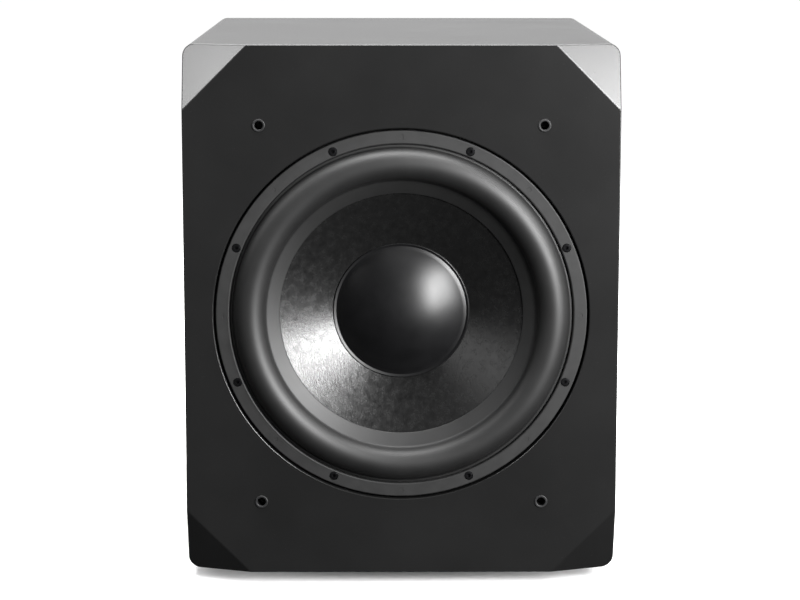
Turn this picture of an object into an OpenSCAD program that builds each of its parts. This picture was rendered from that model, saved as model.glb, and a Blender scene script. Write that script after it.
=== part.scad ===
// Powered subwoofer: closed box, one 12-inch driver, plate amplifier on the back.
// +X is right, +Y is back, +Z is up. The origin is the centre of the footprint, on the floor.

/* [Cabinet] */
// Outside width of the cabinet
cab_w = 362; // [345:1:480]
// Outside height of the cabinet, without its feet
cab_h = 446; // [380:1:560]
// Outside depth of the cabinet, baffle front to rear panel
cab_d = 430; // [340:1:560]
// Thickness of the side, top, bottom and rear boards
board_t = 18; // [12:1:22]
// Thickness of the front baffle
baffle_t = 25; // [20:1:36]
// Radius of the four long edges that run from front to back
edge_r = 10; // [3:0.5:11]
// Leg of the facet at each front corner, measured on the front face
facet_leg = 54; // [20:1:70]
// How far back each facet reaches at its corner
facet_depth = 18; // [6:0.5:19]
// How far the driver's centre sits below the middle of the front
driver_drop = 2.4; // [-10:0.2:12]
// Sideways distance between the grille sockets
socket_dx = 235.6; // [220:0.2:250]
// Upright distance between the grille sockets
socket_dz = 318.3; // [300:0.2:340]
// Hole in each grille socket
socket_bore = 7; // [4:0.1:8]
// Depth of the hole in each grille socket
socket_depth = 12; // [8:0.5:14]
// Thickness of the window brace and its frame width
brace_t = 18; // [12:1:22]
// Width of the brace's frame around its window
brace_rim = 52; // [30:1:60]
// Distance from the baffle's front to the brace
brace_set = 205; // [180:1:220]
// Thickness of the wadding
wadding_t = 20; // [10:1:30]

/* [Feet] */
// Diameter of each foot at the floor
foot_d = 40; // [30:1:50]
// Height of each foot
foot_h = 10; // [8:0.5:14]
// Distance of the feet's centres from the cabinet's sides
foot_side = 65; // [40:1:90]
// Distance of the front feet's centres from the front
foot_front = 75; // [50:1:110]
// Distance of the rear feet's centres from the back
foot_back = 50; // [35:1:90]

/* [Driver frame] */
// Outside diameter of the driver's frame
frame_od = 310; // [256:1:320]
// Gap between the frame and its recess in the baffle
recess_gap = 1.8; // [0.5:0.1:3]
// How far the trim ring's face sits behind the baffle's face
ring_set_back = 2; // [0:0.1:3]
// Radial width of the trim ring
ring_w = 11.5; // [11:0.1:16]
// Thickness of the trim ring
ring_t = 4; // [4:0.1:5]
// Thickness of the frame's flange
flange_t = 5; // [3:0.1:6]
// Thickness of the foam seal behind the flange
seal_t = 1.5; // [0.5:0.1:2]
// Distance of the screw circle inside the frame's edge
screw_inset = 6.5; // [6:0.1:6.5]
// Number of driver screws
screw_n = 8; // [4:1:12]
// Diameter of a driver screw's shank
screw_d = 4; // [3:0.1:4.5]
// Diameter of a driver screw's head
screw_head_d = 7; // [5.5:0.1:7]
// Thickness of the basket's wall and spokes
basket_t = 4; // [3:0.1:5]
// Depth of the basket's straight wall behind the flange
basket_wall = 24; // [20:1:30]

/* [Cone and suspension] */
// Outside width of the surround's half roll
roll_w = 27; // [20:0.5:30]
// Thickness of the surround's rubber
rubber_t = 1; // [0.6:0.1:1.4]
// Radial width of the lip glued to the cone
lip_w = 11.8; // [8:0.1:14]
// Slope of the cone
cone_angle = 20; // [16:0.5:21]
// Thickness of the cone
cone_t = 1.6; // [1:0.1:2]
// Radius of the dust cap's dome
dome_r = 54; // [45:0.5:60]
// Height of the dust cap's dome
dome_h = 18; // [14:0.5:26]
// Radial width of the dust cap's flange
dome_flange = 3.2; // [2:0.1:4]
// Wall of the dust cap
dome_t = 1.2; // [0.8:0.1:1.6]
// Inside radius of the voice coil former
former_r = 32; // [30:0.5:36]
// Wall of the former
former_t = 0.5; // [0.3:0.05:0.6]
// Thickness of the winding
winding_t = 1.4; // [1:0.1:1.8]
// Height of the winding
winding_h = 26; // [20:1:28]
// Outside radius of the spider
spider_r = 78; // [70:0.5:82]
// Width of the flat rim of the spider
spider_rim = 5; // [4:0.1:6]
// Height of the spider's waves
spider_wave = 2.4; // [1:0.1:3]
// Distance from the cone's neck to the spider
neck_to_spider = 22; // [20:0.5:26]
// Distance from the spider to the top plate
spider_to_plate = 26; // [25:0.5:30]
// Travel of the cone each way from rest
excursion = 12; // [8:0.5:12]

/* [Motor] */
// Radius of the top plate and of the yoke's plate
plate_r = 75; // [72:0.5:80]
// Thickness of the top plate
top_plate_t = 8; // [6:0.5:10]
// Outside radius of the magnet rings
magnet_r = 78; // [74:0.5:85]
// Hole radius of the magnet rings
magnet_hole_r = 46; // [40:0.5:50]
// Thickness of each of the two magnet rings
magnet_t = 18; // [16:0.5:22]
// Thickness of the yoke's plate
yoke_t = 10; // [8:0.5:14]
// Radius of the vent through the pole
vent_r = 12; // [6:0.5:16]
// Gap between the pole and the former, and between the winding and the top plate
coil_gap = 0.6; // [0.4:0.05:1]
// Wall of the rubber boot over the magnets
boot_t = 2.5; // [1.5:0.1:4]

/* [Amplifier] */
// Width of the amplifier plate
amp_w = 250; // [245:1:270]
// Height of the amplifier plate
amp_h = 250; // [245:1:290]
// Thickness of the amplifier plate
amp_t = 3; // [2:0.1:4]
// Thickness of the seal under the plate
amp_seal_t = 1.5; // [1:0.1:2]
// How far the plate overlaps the rear panel around the cut-out
amp_lap = 18; // [14:0.5:20]
// Height of the plate's centre above the cabinet's underside
amp_rise = 176; // [150:1:200]
// Depth of the heat sink's fins, from the plate
sink_d = 17; // [17:0.5:24]
// Number of fins
fin_n = 11; // [7:1:13]
// Distance of the circuit board from the plate
board_gap = 32; // [30:0.5:40]
// Radius of a control knob
knob_r = 9.5; // [8:0.1:11]
// Height of a control knob
knob_h = 14; // [12:0.5:15]
// Radius of a control's shaft
shaft_r = 3; // [2:0.05:3]
// Travel of a control knob each way from the middle
knob_turn = 150; // [120:1:150]

/* [Fits] */
// Clearance of a loose fit, on the radius
loose = 0.3; // [0.2:0.05:0.4]
// Clearance of a running fit, on the radius
running = 0.05; // [0.02:0.01:0.1]
// Glue line between two bonded pieces
glue = 0.1; // [0.05:0.05:0.2]

/* [Hidden] */
$fn = 96;
eps = 0.5;

// The cabinet's place
roll_proud = roll_w / 2 - ring_set_back - ring_t;
rear_proud = amp_seal_t + amp_t + sink_d;
total_d = roll_proud + cab_d + rear_proud;
front_y = roll_proud - total_d / 2;
back_y = front_y + cab_d;
cab_mid_z = foot_h + cab_h / 2;
driver_z = cab_mid_z - driver_drop;
inner_w = cab_w - 2 * board_t;
inner_h = cab_h - 2 * board_t;
body_front = front_y + baffle_t;
body_d = cab_d - baffle_t - board_t;

// The driver's depths, measured back from the baffle's face
frame_r = frame_od / 2;
flange_z = ring_set_back + ring_t;
seat_z = flange_z + flange_t + seal_t;
ring_in_r = frame_r - ring_w;
landing_r = ring_in_r - loose;
roll_out_r = landing_r - 2.7;
roll_mid_r = roll_out_r - roll_w / 2;
roll_in_r = roll_out_r - roll_w;
basket_in_r = roll_out_r - 3;
basket_out_r = basket_in_r + basket_t - 0.5;
cutout_r = basket_out_r + 1.5;
screw_r = frame_r - screw_inset;
lip_in_r = roll_in_r - lip_w;
slope = tan(cone_angle);
former_out_r = former_r + former_t;
neck_r = former_out_r + glue;
collar_r = neck_r + cone_t;
function cone_z(r) = flange_z + glue + (roll_in_r - r) * slope;
neck_z = cone_z(neck_r);
collar_h = 5;
cone_skin = cone_t / cos(cone_angle);
spider_z = neck_z + neck_to_spider;
plate_z = spider_z + spider_to_plate;
magnet_z = plate_z + top_plate_t;
yoke_z = magnet_z + 2 * magnet_t;
motor_end = yoke_z + yoke_t;
pole_r = former_r - coil_gap;
winding_r = former_out_r + winding_t;
gap_r = winding_r + coil_gap;
coil_mid = plate_z + top_plate_t / 2;
former_end = coil_mid + winding_h / 2 + 1;
shelf_z = spider_z + 1;
shelf_r = spider_r + 1.5;
basket_floor_t = 5;
basket_floor_z = plate_z - basket_floor_t;
basket_corner_z = flange_z + flange_t + basket_wall;
hub_r = shelf_r + basket_t;
pad_r = hub_r + 4;
pad_w = 34;

// The amplifier's places, on the back
amp_z = foot_h + amp_rise;
plate_in = back_y + amp_seal_t;
plate_out = plate_in + amp_t;
opening_w = amp_w - 2 * amp_lap;
opening_h = amp_h - 2 * amp_lap;
amp_screw_inset = 8;
sink_x = -62;
sink_w = 100;
level_x = 36;
crossover_x = 86;
knob_v = 86;
switch_v = 44;
phase_x = level_x;
mode_x = crossover_x;
light_x = (level_x + crossover_x) / 2;
jack_x = [46, 76];
jack_v = [10, -16];
power_x = 32;
inlet_x = 82;
power_v = -74;
bush_r = 3.5;
bush_out = 5;
toggle_bore = 2.6;
toggle_tilt = 12;
rocker_tilt = 8;
slider_travel = 4;

module on_driver() translate([0, front_y, driver_z]) rotate([-90, 0, 0]) children();
module on_plate(x, v, y) translate([x, y, amp_z + v]) rotate([-90, 0, 0]) children();
module along_y(y0, len) translate([0, y0 + len, 0]) rotate([90, 0, 0]) linear_extrude(len) children();
module tube(r_out, r_in, h) difference() {
    cylinder(r = r_out, h = h);
    translate([0, 0, -eps]) cylinder(r = r_in, h = h + 2 * eps);
}
module block(x0, x1, y0, y1, z0, z1) translate([x0, y0, z0]) cube([x1 - x0, y1 - y0, z1 - z0]);
module around(n, r, start = 0) for (i = [0 : n - 1]) rotate(start + i * 360 / n) translate([r, 0, 0]) children();

// A round cord through points, as one faceted tube
function unit(v) = v / norm(v);
function tangent(p, i) = unit(p[min(i + 1, len(p) - 1)] - p[max(i - 1, 0)]);
function side(t) = unit(cross(t, [1, 0, 0]));
module cord(p, r, sides = 8) {
    n = len(p);
    pts = [for (i = [0 : n - 1]) let (t = tangent(p, i), a = side(t), b = cross(t, a))
        for (k = [0 : sides - 1]) p[i] + r * (cos(360 * k / sides) * a + sin(360 * k / sides) * b)];
    polyhedron(points = pts, faces = concat(
        [[for (k = [0 : sides - 1]) k]],
        [for (i = [0 : n - 2], k = [0 : sides - 1]) let (q = (k + 1) % sides)
            [i * sides + k, (i + 1) * sides + k, (i + 1) * sides + q, i * sides + q]],
        [[for (k = [sides - 1 : -1 : 0]) (n - 1) * sides + k]]));
}

// ---- Cabinet ----
module cabinet_outline() {
    square([cab_w - 2 * edge_r, cab_h], center = true);
    square([cab_w, cab_h - 2 * edge_r], center = true);
    for (sx = [-1, 1], sz = [-1, 1]) translate([sx * (cab_w / 2 - edge_r), sz * (cab_h / 2 - edge_r)]) circle(edge_r);
}
// Everything in front of the plane through a facet's three corners
module facet_cut() {
    n = [1 / facet_leg, -1 / facet_depth, 1 / facet_leg];
    far = 2 * facet_leg + 60;
    translate([cab_w / 2 - facet_leg, front_y, cab_h / 2])
        rotate([0, acos(n[2] / norm(n)), atan2(n[1], n[0])])
            translate([-far / 2, -far / 2, 0]) cube(far);
}
module front_baffle() color("#202022") difference() {
    translate([0, 0, cab_mid_z]) difference() {
        along_y(front_y, baffle_t) cabinet_outline();
        for (mx = [0, 1], mz = [0, 1]) mirror([mx, 0, 0]) mirror([0, 0, mz]) facet_cut();
    }
    on_driver() {
        translate([0, 0, -eps]) cylinder(r = frame_r + recess_gap, h = seat_z + eps);
        translate([0, 0, -eps]) cylinder(r = cutout_r, h = baffle_t + 2 * eps);
        around(screw_n, screw_r, 180 / screw_n) cylinder(r = insert_r + glue, h = seat_z + insert_h);
        at_sockets() translate([0, 0, -eps]) cylinder(r = socket_body_r, h = socket_body_h + eps);
    }
}
module board_strip(x0, x1) along_y(body_front, body_d) intersection() {
    cabinet_outline();
    translate([x0, -cab_h]) square([x1 - x0, 2 * cab_h]);
}
module left_board() color("#202022") translate([0, 0, cab_mid_z]) board_strip(-cab_w, -inner_w / 2);
module right_board() color("#202022") translate([0, 0, cab_mid_z]) board_strip(inner_w / 2, cab_w);
module flat_board(z0) block(-inner_w / 2, inner_w / 2, body_front, body_front + body_d, z0, z0 + board_t);
module top_board() color("#202022") flat_board(foot_h + cab_h - board_t);
module bottom_board() color("#202022") difference() {
    flat_board(foot_h);
    at_feet() cylinder(r = 1.5, h = 14);
}
module rear_panel() color("#202022") difference() {
    translate([0, 0, cab_mid_z]) along_y(back_y - board_t, board_t) cabinet_outline();
    block(-opening_w / 2, opening_w / 2, back_y - board_t - eps, back_y + eps, amp_z - opening_h / 2, amp_z + opening_h / 2);
    at_amp_screws(back_y - 14) cylinder(r = 1.6, h = 14 + eps);
}
module window_brace() color("#b79a6b") difference() {
    block(-inner_w / 2, inner_w / 2, front_y + brace_set, front_y + brace_set + brace_t, cab_mid_z - inner_h / 2, cab_mid_z + inner_h / 2);
    block(-inner_w / 2 + brace_rim, inner_w / 2 - brace_rim, front_y + brace_set - eps, front_y + brace_set + brace_t + eps,
        cab_mid_z - inner_h / 2 + brace_rim, cab_mid_z + inner_h / 2 - brace_rim);
}
module wadding() color("#e8e6df") {
    y0 = front_y + brace_set + brace_t + 5;
    y1 = back_y - board_t - 5;
    z0 = foot_h + board_t + 5;
    z1 = foot_h + cab_h - board_t;
    for (s = [-1, 1]) {
        x_in = s * (inner_w / 2 - wadding_t);
        x_out = s * inner_w / 2;
        block(min(x_in, x_out), max(x_in, x_out), y0, y1, z0, z1 - wadding_t - 5);
    }
    block(-inner_w / 2 + 5, inner_w / 2 - 5, y0, y1, z1 - wadding_t, z1);
}

// ---- Grille sockets ----
socket_body_r = 4.7;
socket_body_h = socket_depth + 2;
socket_lip_r = 5.45;
socket_lip_t = 0.8;
module at_sockets() for (sx = [-1, 1], sz = [-1, 1]) translate([sx * socket_dx / 2, sz * socket_dz / 2, 0]) children();
module grille_sockets() color("#161617") on_driver() at_sockets() difference() {
    union() {
        cylinder(r = socket_body_r - glue, h = socket_body_h - glue);
        translate([0, 0, -socket_lip_t]) cylinder(r = socket_lip_r, h = socket_lip_t);
    }
    translate([0, 0, -socket_lip_t - eps]) cylinder(r = socket_bore / 2, h = socket_depth + socket_lip_t + eps);
}

// ---- Driver, fixed pieces ----
insert_r = 3.1;
insert_h = baffle_t - seat_z - 1.5;
module screw_inserts() color("#b5954a") on_driver() around(screw_n, screw_r, 180 / screw_n)
    translate([0, 0, seat_z]) tube(insert_r, screw_d / 2 + running, insert_h);
module driver_seal() color("#1b1b1b") on_driver() difference() {
    translate([0, 0, flange_z + flange_t]) tube(frame_r, cutout_r, seal_t);
    around(screw_n, screw_r, 180 / screw_n) cylinder(r = screw_d / 2 + loose, h = baffle_t);
}
module driver_basket() color("#2a2a2c") on_driver() difference() {
    union() {
        rotate_extrude() polygon([
            [basket_in_r, flange_z], [frame_r, flange_z], [frame_r, flange_z + flange_t],
            [basket_out_r, flange_z + flange_t], [basket_out_r, basket_corner_z],
            [hub_r, shelf_z], [hub_r, plate_z], [magnet_hole_r, plate_z], [magnet_hole_r, basket_floor_z],
            [shelf_r, basket_floor_z], [shelf_r, shelf_z + basket_t], [spider_r - spider_rim - 1, shelf_z + basket_t],
            [spider_r - spider_rim - 1, shelf_z], [shelf_r, shelf_z], [shelf_r, shelf_z - 2.2],
            [basket_in_r, basket_corner_z - 1.6]
        ]);
        // Flat pad that carries the terminal block
        translate([-pad_w / 2, shelf_r + 1, shelf_z + 5]) cube([pad_w, pad_r - shelf_r - 1, 14]);
    }
    around(screw_n, screw_r, 180 / screw_n) cylinder(r = screw_d / 2 + loose, h = baffle_t);
    // Six windows between the spokes
    for (i = [0 : 5]) rotate(30 + i * 60) translate([0, 0, basket_corner_z - 8]) linear_extrude(shelf_z - basket_corner_z + 20) polygon([
        [(hub_r + 5) * cos(21), -(hub_r + 5) * sin(21)], [(basket_in_r - 6) * cos(21), -(basket_in_r - 6) * sin(21)],
        [(basket_in_r - 6) * cos(21), (basket_in_r - 6) * sin(21)], [(hub_r + 5) * cos(21), (hub_r + 5) * sin(21)]
    ]);
    // Vents under the spider, between the spokes that don't carry the terminals
    for (i = [0 : 5]) if (i != 1) rotate(30 + i * 60) translate([shelf_r - 3, -14, shelf_z + basket_t + 3]) cube([basket_t + 6, 28, 9]);
}
module trim_ring() color("#2b2b2d") on_driver() difference() {
    translate([0, 0, ring_set_back]) tube(frame_r, ring_in_r, ring_t);
    around(screw_n, screw_r, 180 / screw_n) cylinder(r = screw_head_d / 2 + loose, h = baffle_t);
}
module driver_screws() color("#3a3a3c") on_driver() around(screw_n, screw_r, 180 / screw_n) difference() {
    union() {
        translate([0, 0, flange_z - 3.4]) cylinder(r = screw_head_d / 2, h = 3.4);
        translate([0, 0, flange_z]) cylinder(r = screw_d / 2, h = flange_t + seal_t + insert_h);
    }
    translate([0, 0, flange_z - 4]) cylinder(r = 1.73, h = 2.8, $fn = 6);
}
module terminal_block() color("#8c1c1c") on_driver() {
    difference() {
        translate([-pad_w / 2 + 2, pad_r, shelf_z + 6]) cube([pad_w - 4, 9, 12]);
        for (s = [-1, 1]) translate([s * 8, pad_r + 5, shelf_z + 5]) cylinder(r = 1.6, h = 14);
    }
    for (s = [-1, 1]) translate([s * 8, pad_r + 5, shelf_z + 4]) cylinder(r = 1.5, h = 16);
}
lead_r = 1;
module tinsel_leads() color("#c98b4e") on_driver() for (s = [-1, 1]) cord([
    [s * 8, pad_r + 5, shelf_z + 3.8], [s * 8, pad_r + 5, shelf_z - 1], [s * 8, pad_r + 3, shelf_z - 8],
    [s * 8, pad_r - 2, shelf_z - 14], [s * 8, pad_r - 10, shelf_z - 16.5], [s * 8, pad_r - 20, shelf_z - 17],
    [s * 8, pad_r - 30, shelf_z - 16], [s * 8, pad_r - 40, shelf_z - 15.5], [s * 8, neck_r + 4, shelf_z - 16.5]
], lead_r);

// ---- Driver, moving pieces ----
module cone() color("#454547") on_driver() rotate_extrude() polygon([
    [roll_in_r, cone_z(roll_in_r)], [neck_r, neck_z], [neck_r, neck_z + collar_h], [collar_r, neck_z + collar_h],
    [collar_r, cone_z(collar_r) + cone_skin], [roll_in_r, cone_z(roll_in_r) + cone_skin]
]);
module surround() color("#1c1c1d") on_driver() rotate_extrude() {
    translate([roll_mid_r, flange_z]) difference() {
        circle(roll_w / 2);
        circle(roll_w / 2 - rubber_t);
        translate([-roll_w, 0]) square([2 * roll_w, roll_w]);
    }
    translate([roll_out_r - rubber_t, flange_z - rubber_t]) square([landing_r - roll_out_r + rubber_t, rubber_t]);
    polygon([
        [roll_in_r + rubber_t, flange_z], [roll_in_r, flange_z], [lip_in_r, flange_z + lip_w * slope],
        [lip_in_r, flange_z + lip_w * slope - 1.2 * rubber_t], [roll_in_r + 0.4, flange_z - 1.2 * rubber_t]
    ]);
}
// Spherical shell that rises dome_h over a base of radius dome_r
dome_rim_z = cone_z(dome_r) - glue - 1.4;
dome_ball = (dome_r * dome_r + dome_h * dome_h) / (2 * dome_h);
module dust_cap() color("#121213") on_driver() difference() {
    union() {
        intersection() {
            translate([0, 0, dome_rim_z - dome_h + dome_ball]) sphere(dome_ball, $fn = 360);
            translate([0, 0, dome_rim_z - dome_h - 1]) cylinder(r = dome_r + 1, h = dome_h + 1);
        }
        // The flange starts a little above the dome's rim, inside it, so that the two are one piece
        rotate_extrude() polygon([
            [0, dome_rim_z - 0.3], [0, cone_z(dome_r - dome_t) - glue], [dome_r - dome_t, cone_z(dome_r - dome_t) - glue],
            [dome_r + dome_flange, cone_z(dome_r + dome_flange) - glue],
            [dome_r + dome_flange, cone_z(dome_r + dome_flange) - glue - dome_t], [dome_r - 0.1, dome_rim_z],
            [dome_r - 0.5, dome_rim_z - 0.3]
        ]);
    }
    translate([0, 0, dome_rim_z - dome_h + dome_ball]) sphere(dome_ball - dome_t, $fn = 360);
}
module coil_former() color("#9a8f78") on_driver() translate([0, 0, neck_z - 2]) tube(former_out_r, former_r, former_end - neck_z + 2);
module voice_coil() color("#b5652a") on_driver() translate([0, 0, coil_mid - winding_h / 2])
    tube(winding_r, former_out_r, winding_h);
// Waved disc: flat rims inside and outside, cosine waves between
spider_t = 0.6;
spider_hub_r = neck_r;
spider_waves = 5;
spider_steps = 8 * spider_waves;
function spider_y(i) = spider_z - spider_wave * (1 - cos(360 * spider_waves * i / spider_steps)) / 2;
function spider_x(i) = spider_hub_r + 5 + (spider_r - spider_rim - spider_hub_r - 5) * i / spider_steps;
module spider() color("#c9a24a") on_driver() rotate_extrude() polygon(concat(
    [[spider_hub_r, spider_z]], [for (i = [0 : spider_steps]) [spider_x(i), spider_y(i)]], [[spider_r, spider_z]],
    [[spider_r, spider_z + spider_t]],
    [for (i = [spider_steps : -1 : 0]) [spider_x(i), spider_y(i) + spider_t]], [[spider_hub_r, spider_z + spider_t]]
));

// ---- Motor ----
module top_plate() color("#6e6f72") on_driver() translate([0, 0, plate_z]) tube(plate_r, gap_r, top_plate_t);
module magnet_rings() color("#3d3d40") on_driver() for (i = [0, 1])
    translate([0, 0, magnet_z + i * magnet_t]) tube(magnet_r, magnet_hole_r, magnet_t);
module yoke() color("#6e6f72") on_driver() difference() {
    union() {
        translate([0, 0, yoke_z]) cylinder(r = plate_r, h = yoke_t);
        translate([0, 0, plate_z]) cylinder(r = pole_r, h = yoke_z - plate_z + eps);
    }
    translate([0, 0, plate_z - eps]) cylinder(r = vent_r, h = motor_end - plate_z + 2 * eps);
}
module magnet_boot() color("#1a1a1b") on_driver() difference() {
    translate([0, 0, magnet_z + 2]) cylinder(r = magnet_r + glue + boot_t, h = motor_end - magnet_z - 2 + boot_t);
    translate([0, 0, magnet_z]) cylinder(r = magnet_r + glue, h = motor_end - magnet_z);
    translate([0, 0, magnet_z]) cylinder(r = vent_r + 6, h = motor_end - magnet_z + 2 * boot_t);
}

// ---- Amplifier ----
module at_amp_screws(y) {
    hx = amp_w / 2 - amp_screw_inset;
    hv = amp_h / 2 - amp_screw_inset;
    for (p = [[-hx, -hv], [0, -hv], [hx, -hv], [-hx, 0], [hx, 0], [-hx, hv], [0, hv], [hx, hv]]) on_plate(p[0], p[1], y) children();
}
module plate_block(x, v, w, h, y0, y1) block(x - w / 2, x + w / 2, y0, y1, amp_z + v - h / 2, amp_z + v + h / 2);
module amp_plate() color("#242426") difference() {
    plate_block(0, 0, amp_w, amp_h, plate_in, plate_out);
    at_amp_screws(plate_in - eps) cylinder(r = 2.3, h = amp_t + 2 * eps);
    for (x = [level_x, crossover_x]) on_plate(x, knob_v, plate_in - eps) cylinder(r = bush_r + loose, h = amp_t + 2 * eps);
    on_plate(phase_x, switch_v, plate_in - eps) cylinder(r = bush_r + loose, h = amp_t + 2 * eps);
    on_plate(light_x, knob_v - 22, plate_in - eps) cylinder(r = light_r + loose, h = amp_t + 2 * eps);
    for (x = jack_x, v = jack_v) on_plate(x, v, plate_in - eps) cylinder(r = jack_body_r + loose, h = amp_t + 2 * eps);
    plate_block(mode_x, switch_v, slider_w + slider_travel + 4 * loose, slider_h + 2 * loose, plate_in - eps, plate_out + eps);
    plate_block(power_x, power_v, rocker_body_w + 2 * loose, rocker_body_h + 2 * loose, plate_in - eps, plate_out + eps);
    plate_block(inlet_x, power_v, inlet_body_w + 2 * loose, inlet_body_h + 2 * loose, plate_in - eps, plate_out + eps);
}
module amp_seal() color("#191919") difference() {
    plate_block(0, 0, amp_w - 2, amp_h - 2, back_y, plate_in);
    plate_block(0, 0, opening_w, opening_h, back_y - eps, plate_in + eps);
    at_amp_screws(back_y - eps) cylinder(r = 2.3, h = amp_seal_t + 2 * eps);
}
module amp_screws() color("#3a3a3c") at_amp_screws(plate_out) difference() {
    union() {
        cylinder(r = 4, h = 2.2);
        translate([0, 0, -amp_t - amp_seal_t - 12]) cylinder(r = 1.6, h = amp_t + amp_seal_t + 12);
    }
    for (a = [0, 90]) rotate(a) translate([-2.4, -0.5, 1]) cube([4.8, 1, 2]);
}
sink_base = 4;
fin_t = 2;
sink_h = 210;
module heat_sink() color("#1d1d1f") {
    plate_block(sink_x, 0, sink_w, sink_h, plate_out, plate_out + sink_base);
    pitch = (sink_w - fin_t) / (fin_n - 1);
    for (i = [0 : fin_n - 1]) plate_block(sink_x - sink_w / 2 + fin_t / 2 + i * pitch, 0, fin_t, sink_h, plate_out + sink_base - 0.01, plate_out + sink_d);
}
pcb_y = plate_in - board_gap;
pcb_t = 1.6;
pcb_x = 54;
pcb_w = 100;
pcb_h = 200;
module at_standoffs() for (sx = [-1, 1], sv = [-1, 1]) translate([pcb_x + sx * (pcb_w / 2 - 5), 0, amp_z + sv * (pcb_h / 2 - 5)]) children();
module circuit_board() color("#1f5a34") difference() {
    plate_block(pcb_x, 0, pcb_w, pcb_h, pcb_y - pcb_t, pcb_y);
    at_standoffs() translate([0, pcb_y - pcb_t - eps, 0]) rotate([-90, 0, 0]) cylinder(r = 1.6, h = pcb_t + 2 * eps);
}
module standoffs() color("#c9a95a") at_standoffs() translate([0, pcb_y, 0]) rotate([-90, 0, 0]) tube(3, 1.25, board_gap);
core_r = 48;
core_hole_r = 16;
core_t = 40;
core_x = -58;
core_v = -48;
module transformer() color("#8a6a2a") on_plate(core_x, core_v, plate_in - core_t - 1) difference() {
    rotate_extrude() {
        translate([core_hole_r + 6, 0]) square([core_r - core_hole_r - 12, core_t]);
        translate([core_hole_r, 6]) square([core_r - core_hole_r, core_t - 12]);
        for (r = [core_hole_r + 6, core_r - 6], z = [6, core_t - 6]) translate([r, z]) circle(6);
    }
}
module transformer_clamp() color("#8d8f93") on_plate(core_x, core_v, plate_in) {
    translate([0, 0, -core_t - 1 - 2]) cylinder(r = 26, h = 2);
    translate([0, 0, -core_t - 2]) cylinder(r = 2.5, h = core_t + 2);
    translate([0, 0, -core_t - 7]) cylinder(r = 4.6, h = 4, $fn = 6);
}
module filter_capacitors() color("#23395f") for (v = [10, 52]) translate([pcb_x + 10, 0, amp_z + v]) {
    translate([0, pcb_y - pcb_t, 0]) rotate([90, 0, 0]) cylinder(r = 15, h = 42);
}
module output_transistors() color("#18181a") for (x = [-96, -72, -48, -24]) plate_block(x, 62, 16, 20, plate_in - 5, plate_in);

// Rotary controls: one potentiometer, shaft and knob each
pot_r = 8.5;
pot_d = 10;
module rotary_pot(x) on_plate(x, knob_v, plate_in) {
    difference() {
        union() {
            translate([0, 0, -pot_d]) cylinder(r = pot_r, h = pot_d);
            cylinder(r = bush_r, h = amp_t + bush_out);
            translate([0, 0, amp_t]) cylinder(r = 5.8, h = 2.2, $fn = 6);
        }
        translate([0, 0, -pot_d + 2]) cylinder(r = shaft_r + running, h = pot_d + amp_t + bush_out);
    }
}
module rotary_shaft(x) on_plate(x, knob_v, plate_in) translate([0, 0, -pot_d + 2.5]) cylinder(r = shaft_r, h = pot_d + amp_t + knob_h - 6.5);
module rotary_knob(x) on_plate(x, knob_v, plate_out + 0.8) difference() {
    union() {
        cylinder(r = knob_r + 1.2, h = 2);
        translate([0, 0, 2]) cylinder(r = knob_r, h = knob_h - 2);
    }
    translate([0, 0, -eps]) cylinder(r = 6.6, h = 5.5 + eps);
    cylinder(r = shaft_r, h = knob_h - 4.2 - 0.1);
    around(18, knob_r + 0.25, 10) translate([0, 0, 3]) cylinder(r = 0.9, h = knob_h);
    translate([-0.5, -knob_r - 1, knob_h - 0.8]) cube([1, knob_r - 1, 1]);
}
module level_pot() color("#777a7e") rotary_pot(level_x);
module level_shaft() color("#b8babd") rotary_shaft(level_x);
module level_knob() color("#1a1a1b") rotary_knob(level_x);
module crossover_pot() color("#777a7e") rotary_pot(crossover_x);
module crossover_shaft() color("#b8babd") rotary_shaft(crossover_x);
module crossover_knob() color("#1a1a1b") rotary_knob(crossover_x);

// Phase toggle
module phase_switch() color("#8d8f93") on_plate(phase_x, switch_v, plate_in) difference() {
    union() {
        translate([-6.5, -4, -10]) cube([13, 8, 10]);
        cylinder(r = bush_r, h = amp_t + bush_out);
        translate([0, 0, amp_t]) cylinder(r = 5.8, h = 2, $fn = 6);
    }
    translate([0, 0, -3]) cylinder(r = toggle_bore, h = amp_t + bush_out + 4);
}
module phase_lever() color("#c8cacd") on_plate(phase_x, switch_v, plate_in + toggle_pivot) rotate([toggle_tilt, 0, 0]) {
    translate([0, 0, -3.5]) cylinder(r = 1.1, h = 3.5 + amp_t + bush_out - toggle_pivot + 7);
    translate([0, 0, amp_t + bush_out - toggle_pivot + 6.5]) sphere(r = 1.7, $fn = 32);
}
toggle_pivot = 3;

// Mode slide switch
slider_w = 4.4;
slider_h = 3.6;
module mode_switch() color("#303134") difference() {
    plate_block(mode_x, switch_v, 20, 9, plate_in - 8, plate_in);
    plate_block(mode_x, switch_v, slider_w + slider_travel + 4 * loose, slider_h + 2 * loose, plate_in - 4, plate_in + eps);
}
module mode_slider() color("#d9d9d6") difference() {
    plate_block(mode_x - slider_travel / 2, switch_v, slider_w, slider_h, plate_in - 3.7, plate_out + 2);
    for (i = [-1, 0, 1]) plate_block(mode_x - slider_travel / 2 + i * 1.2, switch_v, 0.5, slider_h + 1, plate_out + 1.5, plate_out + 3);
}

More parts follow.
